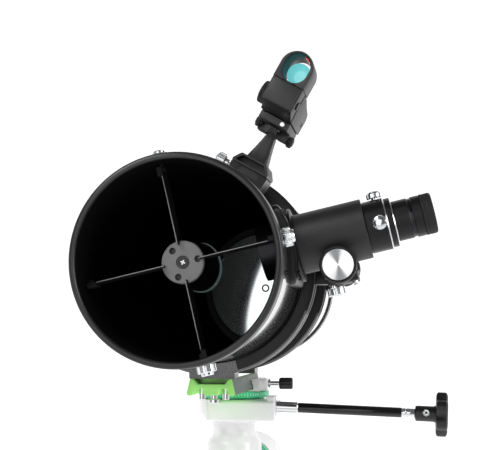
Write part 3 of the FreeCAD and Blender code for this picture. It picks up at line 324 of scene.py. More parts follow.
def thumb_wheel(bm, base, axis, radius, length, ridges, depth, skin=0):
    """A knurled head: a disc with every other rim point pulled in, drawn out, its two rims broken."""
    made = bmesh.ops.create_circle(bm, cap_ends=True, radius=radius, segments=4 * ridges)["verts"]
    for vert in made:
        step = round(math.atan2(vert.co.y, vert.co.x) / math.tau * 4 * ridges)
        if step % 4 in (2, 3):
            vert.co *= (radius - depth) / radius
    lid = made[0].link_faces[0]
    base_face = lid
    stack = [(0.0, 1 - 0.7 / radius), (0.7, 1.0), (length - 0.7, 1.0), (length, 1 - 0.7 / radius)]
    bmesh.ops.scale(bm, verts=made, vec=(stack[0][1], stack[0][1], 1))
    everything = list(made)
    for (low, was), (high, now) in zip(stack, stack[1:]):
        grown = bmesh.ops.extrude_face_region(bm, geom=[lid])["geom"]
        top = [part for part in grown if isinstance(part, bmesh.types.BMVert)]
        old = lid
        lid = next(part for part in grown if isinstance(part, bmesh.types.BMFace))
        if old is not base_face and old.is_valid:
            bmesh.ops.delete(bm, geom=[old], context="FACES_ONLY")
        bmesh.ops.scale(bm, verts=top, vec=(now / was, now / was, 1))
        bmesh.ops.translate(bm, verts=top, vec=(0, 0, high - low))
        everything += top
    aim = Vector((0, 0, 1)).rotation_difference(Vector(axis)).to_matrix()
    bmesh.ops.transform(bm, matrix=Matrix.Translation(base) @ aim.to_4x4(), verts=everything)
    for face in {face for vert in everything for face in vert.link_faces}:
        face.material_index = skin


def copies(bm, angles, axis=(0, 1, 0), centre=(0, 0, 0)):
    """Repeats what is drawn so far at more angles about an axis."""
    first = bm.verts[:] + bm.edges[:] + bm.faces[:]
    for angle in angles:
        made = bmesh.ops.duplicate(bm, geom=first)["geom"]
        spots = [part for part in made if isinstance(part, bmesh.types.BMVert)]
        bmesh.ops.rotate(bm, verts=spots, cent=centre, matrix=Matrix.Rotation(-math.radians(angle), 3, axis))


def settle(bm, name, body, skins, nodes=(), place=on_mount, smooth=32):
    """Closes a drawing into a finished piece, in its place and on its body."""
    bmesh.ops.remove_doubles(bm, verts=bm.verts, dist=0.001)
    bmesh.ops.dissolve_degenerate(bm, edges=bm.edges, dist=0.0005)
    bmesh.ops.recalc_face_normals(bm, faces=bm.faces)
    mesh = bpy.data.meshes.new(name)
    bm.to_mesh(mesh)
    bm.free()
    for skin in skins:
        mesh.materials.append(skin)
    mesh.transform(place)
    mesh.shade_smooth()
    mesh.set_sharp_from_angle(angle=math.radians(smooth))
    piece = bpy.data.objects.new(name, mesh)
    bpy.context.scene.collection.objects.link(piece)
    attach(piece, body)
    if nodes:
        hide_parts(*nodes)
    return piece


def keep(node, skin):
    """A CAD node whose shape is right gets its real finish."""
    held = frame["nodes"][node]
    held.data.materials.clear()
    held.data.materials.append(skin)


# ---- main tube -------------------------------------------------------------------------------
# Rolled steel tube, sprayed gloss black outside with a faint orange peel, and matt black inside
# so that stray light is lost. Its ends are hidden in the two end rings.

# Gloss enamel: sharp reflections that waver a little.
gloss_enamel, tree, shader = finish_named("gloss_black_enamel", "#0a0a0c", 0.12, IOR=1.6, Coat_Weight=1.0,
                                          Coat_Roughness=0.05)
vary(tree, shader, "Roughness", grain(tree, 60.0, 3.0), 0.09, 0.16)
# Matt lining: swallows almost all light.
matt_black, tree, shader = finish_named("matt_black_lining", "#0b0b0c", 0.92, IOR=1.4)
shader.inputs["Specular IOR Level"].default_value = 0.12
raise_by(tree, shader, grain(tree, 0.9, 2.0), 0.06, 0.5)
vary(tree, shader, "Roughness", grain(tree, 40.0, 2.0), 0.85, 0.97)

tube_r = 80.25
tube_inside = 79.05
bm = bmesh.new()
turn(bm, [(tube_r, 3), (tube_r, 600), (tube_inside, 600), (tube_inside, 3)], steps=160)
for face in bm.faces:
    middle = face.calc_center_median()
    face.material_index = 1 if math.hypot(middle.x, middle.z) < (tube_r + tube_inside) / 2 - 0.1 else 0
settle(bm, "tube_shell", "tube", [gloss_enamel, matt_black], ["main_tube"])

# ---- end rings ----------------------------------------------------------------------------------
# Die-cast rings pushed over the tube's ends, painted satin dark grey. The front one has a rolled
# lip, and the rear one carries the mirror.

# Casting paint: soft highlights broken up by the grain.
satin_grey, tree, shader = finish_named("satin_grey_casting", "#29292a", 0.3, 0.3)
raise_by(tree, shader, grain(tree, 0.8, 3.0), 0.05, 0.5)
tint(tree, shader, grain(tree, 25.0, 3.0), "#252526", "#303032")
bm = bmesh.new()
turn(bm, [(76.7, 1.6), (77.2, 0.6), (78.1, 0.0), (79.4, 0.0), (80.9, 0.6), (81.7, 1.6), (82.0, 3.0),
          (82.0, 16.9),
          (81.4, 17.6), (80.25, 17.6), (80.25, 3.0), (76.7, 3.0)], steps=160)
settle(bm, "front_rim", "tube", [satin_grey], ["front_ring"])
keep("rear_cell", satin_grey)

# ---- primary mirror ------------------------------------------------------------------------------
# A thick glass disc with a polished, aluminised hollow face and a small paper ring at its centre.
# It rests in a tray and is held by three clips.

# Aluminised glass: a clean mirror.
silvered, tree, shader = finish_named("aluminised_glass", "#e9eef0", 0.02, 1.0)
vary(tree, shader, "Roughness", grain(tree, 50.0, 2.0), 0.015, 0.03)
# Ground glass: a frosted, greenish rim.
ground_glass, tree, shader = finish_named("ground_glass_edge", "#8fb8ad", 0.35)
raise_by(tree, shader, grain(tree, 0.6, 2.0), 0.04, 0.4)
# Ink: a flat dark ring.
centre_ink, tree, shader = finish_named("centre_mark_ink", "#151515", 0.7)
raise_by(tree, shader, grain(tree, 0.6, 2.0), 0.02, 0.3)
mirror_front = 573.0
mirror_curve = 1060.0
mirror_r = 67.5


def sag(r):
    """Depth of the hollow face at a radius, measured from its rim."""
    return mirror_front + (mirror_r ** 2 - r ** 2) / (2 * mirror_curve)


bm = bmesh.new()
face_line = [(r, sag(r)) for r in (0, 8, 16, 24, 32, 40, 48, 56, 62, 66.9)]
turn(bm, face_line + [(67.5, mirror_front + 0.6), (67.5, mirror_front + 22), (0, mirror_front + 22)],
     steps=128)
bm.normal_update()
for face in bm.faces:
    near_front = face.calc_center_median().y < mirror_front + 2.5
    face.material_index = 0 if near_front and abs(face.normal.y) > 0.7 else 1
settle(bm, "main_mirror", "tube", [silvered, ground_glass], ["primary_mirror"], smooth=20)
bm = bmesh.new()
turn(bm, [(3.0, sag(3.0) - 0.15), (4.8, sag(4.8) - 0.15), (4.8, sag(4.8) - 0.02), (3.0, sag(3.0) - 0.02)],
     steps=48)
settle(bm, "centre_mark", "tube", [centre_ink])

# Dark anodising: a dull metal sheen with turning marks.
dark_alloy, tree, shader = finish_named("dark_anodised_alloy", "#2b2b2e", 0.35, 0.8)
vary(tree, shader, "Roughness", grain(tree, 2.0, 2.0, (1, 1, 6)), 0.28, 0.45)
keep("mirror_cradle", dark_alloy)

# ---- spider ----------------------------------------------------------------------------------
# Four thin spring-steel vanes, painted matt black with a thin light grey strip along the front edges, bent
# into a clip at the tube wall. A stud on each clip passes through the tube to a knurled chrome nut.

# Matt paint on steel: nearly no shine.
vane_paint, tree, shader = finish_named("black_painted_steel", "#080808", 0.8)
raise_by(tree, shader, grain(tree, 0.7, 2.0), 0.02, 0.4)
vary(tree, shader, "Roughness", grain(tree, 12.0, 2.0), 0.75, 0.9)
# Edge strip: a thin light grey line along each vane's front edge.
light_grey_edge, tree, shader = finish_named("light_grey_vane_edge", "#868686", 0.5)
raise_by(tree, shader, grain(tree, 0.8, 2.0), 0.02, 0.3)
vary(tree, shader, "Roughness", grain(tree, 6.0, 2.0), 0.45, 0.6)
# Chrome: bright, slightly smeared reflections.
chrome, tree, shader = finish_named("polished_chrome", "#d9dadc", 0.1, 1.0)
vary(tree, shader, "Roughness", grain(tree, 9.0, 3.0), 0.06, 0.16)
vane_swing = Matrix.Rotation(-math.radians(13), 3, "Y")
stud_y = 35.5
bm = bmesh.new()
block(bm, (14.0, 76.4), (29.2, 52), (-0.4, 0.4))
block(bm, (14.0, 69.0), (29.0, 29.3), (-0.3, 0.3), skin=1)
block(bm, (69.6, 76.6), (29.5, 42), (0.5, 3.4))
turn(bm, [(0, 74), (2.0, 74), (2.0, 88), (0, 88)], axis=(1, 0, 0), centre=(0, stud_y, 0), steps=16)
turn(bm, [(0, 72.6), (3.6, 72.6), (3.6, 75.8), (0, 75.8)], axis=(1, 0, 0), centre=(0, stud_y, 0), steps=6)
bmesh.ops.rotate(bm, verts=bm.verts, cent=(0, 0, 0), matrix=vane_swing)
copies(bm, (90, 180, 270))
settle(bm, "spider", "tube", [vane_paint, light_grey_edge], ["spider_vanes"])
bm = bmesh.new()
thumb_wheel(bm, (81.0, stud_y, 0), (1, 0, 0), 7.5, 6.6, 30, 0.45)
turn(bm, [(5.0, 80.5), (5.0, 89.2), (4.4, 89.9), (2.4, 89.9), (2.4, 80.5)], axis=(1, 0, 0),
     centre=(0, stud_y, 0), steps=32)
bmesh.ops.rotate(bm, verts=bm.verts, cent=(0, 0, 0), matrix=vane_swing)
copies(bm, (90, 180, 270))
settle(bm, "spider_nut_set", "tube", [chrome], ["spider_nuts"], smooth=25)

# ---- secondary holder ---------------------------------------------------------------------------
# A grey sand-blasted disc covers the hub where the vanes meet. Three set screws sit deep in their
# holes round a recessed cross-head screw, and the black holder behind carries the diagonal.

# Blasted alloy: even, fine and without lustre.
blasted_grey, tree, shader = finish_named("blasted_grey_alloy", "#747474", 0.6, 0.1)
raise_by(tree, shader, grain(tree, 0.5, 2.0), 0.05, 0.6)
tint(tree, shader, grain(tree, 8.0, 3.0), "#6e6e6e", "#7c7c7c")
keep("secondary_disc", blasted_grey)
# Moulded plastic: a low, broad sheen over fine grain.
moulded_black, tree, shader = finish_named("moulded_black_abs", "#161617", 0.42, IOR=1.5)
raise_by(tree, shader, grain(tree, 0.7, 2.0), 0.04, 0.45)
vary(tree, shader, "Roughness", grain(tree, 14.0, 3.0), 0.34, 0.5)
keep("secondary_screws", moulded_black)
keep("secondary_holder", moulded_black)
disc_front = 35.5
bm = bmesh.new()
for turned_by in (20, 110):
    slot = block(bm, (-1.9, 1.9), (disc_front + 0.1, disc_front + 0.5), (-0.5, 0.5))
    bmesh.ops.rotate(bm, verts=slot, cent=(0, 0, 0), matrix=Matrix.Rotation(math.radians(turned_by), 3, "Y"))
settle(bm, "centre_cross", "tube", [chrome])
# Diagonal glass: a pale pane with a painted glow that stands in for light from the tube.
diagonal_glass_painted_glow, tree, shader = finish_named("aluminised_glass_painted_glow", "#9db4b0", 0.12, 0.3)
shader.inputs["Emission Color"].default_value = hex_colour("#7f9a96")
shader.inputs["Emission Strength"].default_value = 0.16
vary(tree, shader, "Roughness", grain(tree, 8.0, 1.0), 0.1, 0.18)
keep("secondary_mirror", diagonal_glass_painted_glow)

# ---- focuser ---------------------------------------------------------------------------------
# Cast body in black crinkle paint on a curved saddle base in satin black. It is drawn with X along the
# drawtube and then swung up round the tube to its place.

# Crinkle paint: small wrinkles that catch dots of light.
crinkle, tree, shader = finish_named("black_crinkle_paint", "#131314", 0.5, IOR=1.5)
wrinkle = grain(tree, 1.1, 4.0)
ridged = add(tree, "ShaderNodeTexVoronoi", {"Vector": add(tree, "ShaderNodeTexCoord").outputs["Object"],
                                            "Scale": 1000 / 1.3}, feature="SMOOTH_F1")
mixed = add(tree, "ShaderNodeMath", {0: wrinkle, 1: ridged.outputs["Distance"]}, operation="MULTIPLY")
raise_by(tree, shader, mixed.outputs["Value"], 0.25, 0.7)
vary(tree, shader, "Roughness", wrinkle, 0.36, 0.6)
focuser_swing = Matrix.Rotation(-math.radians(13), 4, "Y") @ Matrix.Translation((0, 121, 0))
on_focuser = on_mount @ focuser_swing
# Satin paint: a quiet, slightly uneven sheen.
satin_black, tree, shader = finish_named("satin_black_paint", "#0e0e0f", 0.36, IOR=1.38)
raise_by(tree, shader, grain(tree, 1.0, 3.0), 0.04, 0.4)
vary(tree, shader, "Roughness", grain(tree, 10.0, 3.0), 0.28, 0.42)
bm = bmesh.new()
plan = edge_of(rounded_box(37.5, 34, 8), 128)
loops = []
for size, radius in ((1.0, 80.4), (1.0, 83.6), (0.985, 84.5), (0.955, 84.9), (0.8, 84.9), (0.6, 84.9),
                     (0.4, 84.9)):
    loops.append([(math.sqrt(radius ** 2 - (b * size) ** 2), a * size + 0.5, b * size) for a, b in plan])
loft(bm, loops, caps=False)
turn(bm, [(25.4, 82), (31.5, 82), (31.5, 83.6), (31.1, 84.3), (29.0, 84.9), (28.0, 85.1), (25.4, 85.1)],
     axis=(1, 0, 0), steps=96)
settle(bm, "focuser_saddle", "tube", [satin_black], ["focuser_base"], place=on_focuser)
bm = bmesh.new()
for y in (-30, 31):
    for z in (-26, 26):
        lift = math.sqrt(84.9 ** 2 - z ** 2)
        cap_screw(bm, (lift - 0.4, y, z), (lift, 0, z), 3.4, 2.0)
settle(bm, "focuser_base_screws", "tube", [satin_black], place=on_focuser)

# The body is a plain cylinder closed below by a block that carries the focusing shaft.
pinion_x = 115.0
pinion_z = -26.5
bm = bmesh.new()
turn(bm, [(23.9, 84), (25.3, 84), (25.3, 143.1), (24.8, 143.7), (24.2, 143.7), (23.9, 143.3)], axis=(1, 0, 0),
     steps=96)
carrier = block(bm, (102, 128), (-19, 19), (-41, -21))
carrier += block(bm, (100.5, 129.5), (-20.2, 20.2), (-34.5, -32.0))
soften(bm, 1.2, 3, 60, of=carrier)
for side in (-1, 1):
    turn(bm, [(2.6, 18.5), (6.6, 18.5), (6.6, 24.2), (6.0, 24.8), (2.6, 24.8)], axis=(0, side, 0),
         centre=(pinion_x, 0, pinion_z), steps=40)
settle(bm, "focuser_barrel", "tube", [crinkle], ["focuser_body"], place=on_focuser)
bm = bmesh.new()
for x in (pinion_x - 9.5, pinion_x + 9.5):
    for y in (-14, 14):
        cap_screw(bm, (x, y, -41), (0, 0, -1), 2.4, 2.2)
settle(bm, "bracket_screws", "tube", [chrome], place=on_focuser)
bm = bmesh.new()
thumb_wheel(bm, (pinion_x - 8, 0, -41.8), (0, 0, -1), 7.6, 7.2, 26, 0.5)
turn(bm, [(0, 0), (5.4, 0), (5.0, 0.7), (0, 0.9)], axis=(0, 0, -1), centre=(pinion_x - 8, 0, -49.0), steps=32)
rod(bm, (pinion_x - 8, 0, -42), (pinion_x - 8, 0, -33), 1.5)
settle(bm, "lock_screw", "focus_lock", [chrome], ["focus_lock_screw"], place=on_focuser,
       smooth=25)
keep("drawtube", dark_alloy)

# The adapter ring holds the eyepiece with two thumbscrews. Satin black anodised alloy with the
# rims of its steps turned bright.

# Black anodising: deep black with a metal sheen.
black_alloy, tree, shader = finish_named("black_anodised_alloy", "#1a1a1c", 0.32, 0.6)
vary(tree, shader, "Roughness", grain(tree, 0.5, 1.0), 0.26, 0.42)
raise_by(tree, shader, grain(tree, 0.8, 2.0), 0.03, 0.3)
# Bright cut: a hairline of bare metal.
bright_cut, tree, shader = finish_named("bright_turned_edge", "#dcdcde", 0.14, 1.0)
vary(tree, shader, "Roughness", grain(tree, 1.0, 1.0), 0.1, 0.22)
bm = bmesh.new()
turn(bm, [(15.95, 132), (21.8, 132), (21.8, 143.8), (15.95, 143.8)], axis=(1, 0, 0), steps=96)
turn(bm, [(20.0, 143.9), (21.3, 143.9), (21.9, 144.6), (21.9, 161.3), (21.3, 162.0), (20.0, 162.0)],
     axis=(1, 0, 0), steps=96)
turn(bm, [(16.0, 161.9), (20.4, 161.9), (20.8, 162.4), (20.8, 167.0), (20.2, 167.7), (16.0, 167.7)],
     axis=(1, 0, 0), steps=96)
for face in bm.faces:
    spot = face.calc_center_median()
    radius = math.hypot(spot.y, spot.z)
    chamfers = ((21.6, 144.25), (21.6, 161.65), (20.6, 162.15), (20.5, 167.35))
    if any(abs(radius - r) < 0.22 and abs(spot.x - x) < 0.36 for r, x in chamfers):
        face.material_index = 1
settle(bm, "adapter_ring", "drawtube", [black_alloy, bright_cut], ["eyepiece_adapter"],
       place=on_focuser, smooth=20)
bm = bmesh.new()
for axis in ((0, -1, 0), (0, 0, 1)):
    seat = Vector((155.5, 0, 0)) + Vector(axis) * 22.0
    thumb_wheel(bm, seat + Vector(axis) * 0.8, axis, 6.2, 4.6, 22, 0.45)
    turn(bm, [(5.4, 5.2), (5.0, 6.1), (3.6, 6.9), (1.8, 7.3), (0, 7.4)], axis=axis, centre=seat, steps=40)
    rod(bm, seat - Vector(axis) * 5, seat + Vector(axis) * 1.5, 2.6)
settle(bm, "eyepiece_thumbscrews", "drawtube", [chrome], ["adapter_screws"], place=on_focuser,
       smooth=28)

# The eyepiece is a turned black barrel with a polished band, a rubber cup and a coated eye lens.

# Polished band: sharper and brighter than the barrel.
gloss_band, tree, shader = finish_named("polished_black_band", "#2a2a2c", 0.12, 0.8)
vary(tree, shader, "Roughness", grain(tree, 4.0, 2.0), 0.08, 0.18)
bm = bmesh.new()
turn(bm, [(12.5, 144.9), (15.5, 144.9), (15.875, 145.3), (15.875, 168.1), (12.5, 168.1)], axis=(1, 0, 0),
     steps=80, skin=1)
turn(bm, [(12.5, 168.0), (16.5, 168.0), (17.0, 168.5), (17.0, 180.4), (16.5, 181.0), (16.3, 181.4),
          (16.3, 183.4),
          (17.1, 184.0), (17.1, 190.6), (16.6, 191.2), (7.2, 191.2), (7.2, 184)], axis=(1, 0, 0), steps=80)
for face in bm.faces:
    if 181.3 < face.calc_center_median().x < 183.5:
        face.material_index = 2
turn(bm, [(0, 186.2), (3.5, 187.2), (7.0, 187.9), (7.3, 187.0), (7.3, 185.0), (0, 185.0)], axis=(1, 0, 0),
     steps=48, skin=3)
# Coated lens: nearly black, with one crisp highlight.
coated_lens, tree, shader = finish_named("coated_eye_lens", "#10131d", 0.03, IOR=1.6, Coat_Weight=1.0)
vary(tree, shader, "Roughness", grain(tree, 8.0, 1.0), 0.02, 0.05)
settle(bm, "eyepiece_barrel", "eyepiece", [black_alloy, chrome, gloss_band, coated_lens],
       ["eyepiece_body"], place=on_focuser, smooth=24)
# Rubber: soft and dusty, without highlights.
rubber, tree, shader = finish_named("black_grip_rubber", "#141414", 0.72, IOR=1.45)
raise_by(tree, shader, grain(tree, 0.6, 2.0), 0.04, 0.5)
vary(tree, shader, "Roughness", grain(tree, 10.0, 2.0), 0.65, 0.8)
bm = bmesh.new()
turn(bm, [(7.0, 191.3), (16.9, 191.3), (17.3, 192.0), (17.3, 193.4), (16.8, 194.0), (17.2, 194.6),
          (17.2, 199.2),
          (16.6, 200.5), (15.6, 201.0), (14.6, 200.4), (13.0, 196.5), (11.6, 194.2), (7.0, 193.2)],
     axis=(1, 0, 0), steps=80)
settle(bm, "rubber_eyecup", "eyepiece", [rubber], ["eyecup"], place=on_focuser, smooth=40)

# Two focusing wheels: black ridged rims, each with a spun aluminium cap, on one steel shaft.

# Spun aluminium: light and dark wedges of painted reflection that run to the centre.
spun, tree, shader = finish_named("spun_aluminium", "#dfe0e2", 0.24, 1.0, Anisotropic=0.93)
marks = add(tree, "ShaderNodeTangent", direction_type="UV_MAP", uv_map="turned")
tree.links.new(marks.outputs["Tangent"], shader.inputs["Tangent"])
vary(tree, shader, "Roughness", grain(tree, 30.0, 1.0), 0.24, 0.3)
# Painted reflection: the colour is darkened in two opposite wedges by the angle round the cap.
laid_out = add(tree, "ShaderNodeUVMap", uv_map="turned").outputs["UV"]
share = add(tree, "ShaderNodeSeparateXYZ", {"Vector": laid_out}).outputs["X"]
twice = add(tree, "ShaderNodeMath", {0: share, 1: 2 * math.tau}, operation="MULTIPLY").outputs[0]
painted_reflection_wave = add(tree, "ShaderNodeMath", {0: twice}, operation="COSINE").outputs[0]
painted_reflection_wedge = add(tree, "ShaderNodeMapRange", {"Value": painted_reflection_wave, "From Min": -1.0, "From Max": -0.35},
            interpolation_type="SMOOTHSTEP")
tint(tree, shader, painted_reflection_wedge.outputs["Result"], "#8f9092", "#f0f0f1")
bm = bmesh.new()
for side in (-1, 1):
    hub = (pinion_x, side * 27.5, pinion_z)
    thumb_wheel(bm, hub, (0, side, 0), 15.1, 7.6, 56, 0.5)
    turn(bm, [(13.2, 7.0), (14.4, 7.2), (14.4, 8.2), (15.2, 8.6), (15.2, 10.9), (14.6, 11.8), (13.7, 11.9),
              (13.2, 11.4)],
         axis=(0, side, 0), centre=hub, steps=80)
settle(bm, "focus_wheels", "focus_knob", [satin_black], ["focus_knobs"], place=on_focuser,
       smooth=28)
bm = bmesh.new()
for side in (-1, 1):
    turn(bm, [(0, 11.6), (4, 11.6), (8, 11.6), (12.6, 11.6), (13.15, 11.1), (13.15, 8.0), (0, 8.0)],
         axis=(0, side, 0), centre=(pinion_x, side * 27.5, pinion_z), steps=96)
rod(bm, (pinion_x, -30, pinion_z), (pinion_x, 30, pinion_z), 2.4)
bmesh.ops.remove_doubles(bm, verts=bm.verts, dist=0.001)
unroll(bm, (pinion_x, pinion_z), 13.0)
settle(bm, "wheel_caps", "focus_knob", [spun], ["focus_shaft"], place=on_focuser, smooth=24)

# ---- finder ----------------------------------------------------------------------------------
# A red-dot sight in satin charcoal plastic: a deep hood with a cyan-coated window, a flat apron
# below it and a case behind for the battery. A dovetail foot slides into a shoe on the tube.

# Charcoal plastic: finely grained, a little lighter than black.
charcoal, tree, shader = finish_named("charcoal_moulding", "#242425", 0.45, IOR=1.5)
raise_by(tree, shader, grain(tree, 0.7, 2.0), 0.05, 0.5)
tint(tree, shader, grain(tree, 9.0, 3.0), "#202021", "#29292a")
# Hood inside: a deeper black than the housing, with a faint sheen.
hood_inside_black, tree, shader = finish_named("black_hood_inside", "#050505", 0.45, IOR=1.4)
vary(tree, shader, "Roughness", grain(tree, 8.0, 2.0), 0.4, 0.5)
on_finder = on_mount @ Matrix.Rotation(math.radians(90 - 60.5), 4, "Y") @ Matrix.Translation((0, 106, 0))
window_z = 178.3


def hood(a, b):
    """The hood's outline: round above, square below."""
    return math.hypot(a, b) <= 13.9 if b > 0 else abs(a) <= 13.9 and b >= -13.3


def window(a, b):
    """The window's outline: two half circles a little apart."""
    return math.hypot(a, max(abs(b) - 2.1, 0)) <= 9.8


bm = bmesh.new()
shell = edge_of(hood, 96)
pane = edge_of(window, 96)
loops = [[(a * size, y, window_z + b * size) for a, b in shell] for y, size in
         ((-20, 0.96), (-20.8, 1.0), (-52.8, 1.0), (-53.8, 0.965))]
loops += [[(a * size, y, window_z + b * size) for a, b in pane] for y, size in
          ((-54.0, 1.16), (-53.6, 1.07), (-51.5, 1.02), (-27.0, 1.0))]
loft(bm, loops, caps=False)
loft(bm, [[(a, y, window_z + b) for a, b in pane] for y in (-30.4, -20.2)], caps=False)
loft(bm, [[(a * size, -20, window_z + b * size) for a, b in source] for size,
          source in ((0.96, shell), (1.0, pane))],
     caps=False)
for face in bm.faces:
    spot = face.calc_center_median()
    if -53.5 < spot.y < -20.1 and window(spot.x * 0.93, (spot.z - window_z) * 0.93):
        face.material_index = 1
case = cut_out(bm, [(-13.5, -53, 144.8), (-13.5, -30, 140.2), (-13.5, -30, 166), (-13.5, -53, 166)],
               (27, 0, 0))
soften(bm, 0.8, 2, 40, of=case)
back = cut_out(bm, [(-14.2, -31, 139.8), (-14.2, 29, 139.8), (-14.2, 29, 155), (-14.2, 22, 159),
                    (-14.2, 0, 161.5),
                    (-14.2, -18, 164.6), (-14.2, -32, 165.2), (-14.2, -34.2, 160),
                    (-14.2, -33.6, 152)], (28.4, 0, 0))
soften(bm, 1.1, 3, 40, of=back)
apron = block(bm, (-12.2, 12.2), (-55.4, -52.6), (145.4, 164.2))
soften(bm, 0.45, 2, 40, of=apron)
settle(bm, "sight_housing", "finder_sight", [charcoal, hood_inside_black], ["finder_housing"],
       place=on_finder, smooth=35)
bm = bmesh.new()
turn(bm, [(0, 13.2), (3.3, 13.2), (3.3, 14.6), (2.9, 15.0), (0, 15.0)], axis=(1, 0, 0),
     centre=(0, -43, 152.6), steps=32)
block(bm, (14.9, 15.3), (-45.6, -40.4), (152.2, 153.0))
turn(bm, [(0, 14.0), (1.9, 14.0), (1.9, 14.6), (0, 14.8)], axis=(1, 0, 0), centre=(0, 20, 148), steps=24)
settle(bm, "sight_side_screw", "finder_sight", [moulded_black], place=on_finder)

# The window is a slightly bowed glass with a cyan coating that throws the red dot forward.

# Coated glass: a clear cyan cast over the whole window, and a painted cyan glow over it.
cyan_glass_painted_glow, tree, shader = finish_named("cyan_coated_glass_painted_glow", "#7ce4e8", 0.08, IOR=1.5, Coat_Weight=1.0)
shader.inputs["Emission Color"].default_value = hex_colour("#7ce4e8")
shader.inputs["Emission Strength"].default_value = 0.62
vary(tree, shader, "Roughness", grain(tree, 20.0, 1.0), 0.05, 0.1)
bm = bmesh.new()
turn(bm, [(0, 27.4), (9.9, 27.4), (9.9, 28.4), (8.0, 29.0), (5.0, 29.5), (2.0, 29.7), (0, 29.7)],
     axis=(0, -1, 0),
     centre=(0, 0, window_z - 0.6), steps=64)
settle(bm, "sight_window", "finder_sight", [cyan_glass_painted_glow], ["finder_lens"], place=on_finder,
       smooth=50)
# Painted glint: a red glow painted on the hood's inner wall, standing in for the red of the dot's lamp.
red_painted_glint, tree, shader = finish_named("hood_wall_painted_glint", "#ff3a18", 0.3)
shader.inputs["Emission Color"].default_value = hex_colour("#d83a1c")
shader.inputs["Emission Strength"].default_value = 0.7
vary(tree, shader, "Roughness", grain(tree, 3.0, 1.0), 0.25, 0.35)
bm = bmesh.new()
arc = [(9.55 * math.cos(math.radians(a)), 9.55 * math.sin(math.radians(a))) for a in range(34, 84, 4)]
outline = [(a, -50.5, window_z + 2.1 + b) for a, b in arc]
outline += [(a * 0.985, -42.0, window_z + 2.1 + b * 0.985) for a, b in reversed(arc)]
bm.faces.new([bm.verts.new(point) for point in outline])
settle(bm, "hood_painted_glint", "finder_sight", [red_painted_glint], place=on_finder)

# The brightness switch is a ribbed wheel on the left; the cradle below has the aiming screws.
bm = bmesh.new()
thumb_wheel(bm, (-15.0, -24, 153), (-1, 0, 0), 9.6, 6.4, 44, 0.4)
turn(bm, [(0, 0), (7.0, 0), (6.4, 0.8), (2.0, 0.5), (0, 0.5)], axis=(-1, 0, 0), centre=(-21.3, -24, 153),
     steps=48)
rod(bm, (-12, -24, 153), (-16, -24, 153), 3.0)
settle(bm, "switch_wheel", "finder_switch", [moulded_black], ["finder_switch"],
       place=on_finder, smooth=28)
bm = bmesh.new()
tray = block(bm, (-13.5, 13.5), (-27, 27), (132.4, 139.5))
soften(bm, 1.2, 3, 40, of=tray)
cheeks = block(bm, (4.6, 13.8), (-6, 6), (125.4, 133)) + block(bm, (-13.8, -4.6), (-6, 6), (125.4, 133))
soften(bm, 0.8, 2, 40, of=cheeks)
block(bm, (-9, 9), (-28.4, -26.8), (133.2, 138.6))
thumb_wheel(bm, (13.9, 0, 128.5), (1, 0, 0), 4.8, 4.2, 20, 0.5)
thumb_wheel(bm, (-12.4, -8, 131.5), (-1, 0, 0), 4.8, 4.0, 20, 0.5)
rod(bm, (13, 0, 128.5), (18.8, 0, 128.5), 3.0)
rod(bm, (-11, -8, 131.5), (-17.0, -8, 131.5), 3.0)
thumb_wheel(bm, (0, -19, 131.8), (0, 0, -1), 5.6, 5.6, 20, 0.5)
settle(bm, "sight_cradle", "finder_sight", [charcoal], ["finder_cradle"], place=on_finder,
       smooth=32)
bm = bmesh.new()
rod(bm, (7.7, -26.5, 135.8), (7.7, -29.0, 135.8), 2.0)
rod(bm, (-14, 0, 128.5), (14.4, 0, 128.5), 1.5)
settle(bm, "cradle_pins", "finder_sight", [chrome], place=on_finder)
bm = bmesh.new()
table = [(16.5, 92), (16.5, 94), (15.8, 95.2), (12.4, 100.2), (11.3, 101)]
inner = [(13.6, 93.6), (13.6, 94.6), (12.9, 95.6), (10.3, 98.8), (9.6, 99.3)]
ring_out = table + [(-x, z) for x, z in reversed(table)]
ring_in = inner + [(-x, z) for x, z in reversed(inner)]
loft(bm, [[(x, 18, z) for x, z in ring_out], [(x, -19.4, z) for x, z in ring_out],
          [(x * 0.97, -20, z * 0.97 + 2.9) for x, z in ring_out], [(x, -20, z) for x, z in ring_in],
          [(x, -19, z) for x, z in ring_in], [(x, -8.5, z) for x, z in ring_in]])
cut_out(bm, [(-10.9, -16, 85.6), (10.9, -16, 85.6), (8.4, -16, 92.2), (-8.4, -16, 92.2)], (0, 32, 0))
stalk = []
for z, half, deep in ((100.6, 10.4, 9.4), (102.2, 9.4, 8.4), (112, 6.8, 8.0), (121, 4.7, 7.8),
                      (124, 4.2, 7.6)):
    stalk.append([(a, b, z) for a, b in edge_of(rounded_box(half, deep, 1.6), 48)])
loft(bm, stalk)
block(bm, (-4.2, 4.2), (-3.2, 3.2), (122, 128.5))
rod(bm, (-4.2, 0, 128.5), (4.2, 0, 128.5), 3.2)
settle(bm, "sight_foot", "finder", [moulded_black], ["finder_foot"], place=on_finder,
       smooth=32)
bm = bmesh.new()
base = [(15.3, 78.6), (16.5, 91.0), (16.0, 91.7), (8.6, 91.7), (11.3, 85.2)]
outline = base + [(-x, z) for x, z in reversed(base)]
outline += [(-10, 79.8), (-5, 80.2), (0, 80.35), (5, 80.2), (10, 79.8)]
loft(bm, [[(x, y, z) for x, z in outline] for y in (-17, 17)])
soften(bm, 0.5, 2, 50)
settle(bm, "finder_shoe_casting", "tube", [satin_black], ["finder_shoe"], place=on_finder,
       smooth=32)
bm = bmesh.new()
thumb_wheel(bm, (-24, 0, 88.2), (-1, 0, 0), 6.2, 7.6, 22, 0.5)
turn(bm, [(0, 0), (4.8, 0), (4.2, 0.8), (0, 1.0)], axis=(-1, 0, 0), centre=(-31.6, 0, 88.2), steps=32)
rod(bm, (-11.3, 0, 88.2), (-25, 0, 88.2), 1.8)
rod(bm, (-21, 0, 88.2), (-24.6, 0, 88.2), 3.6)
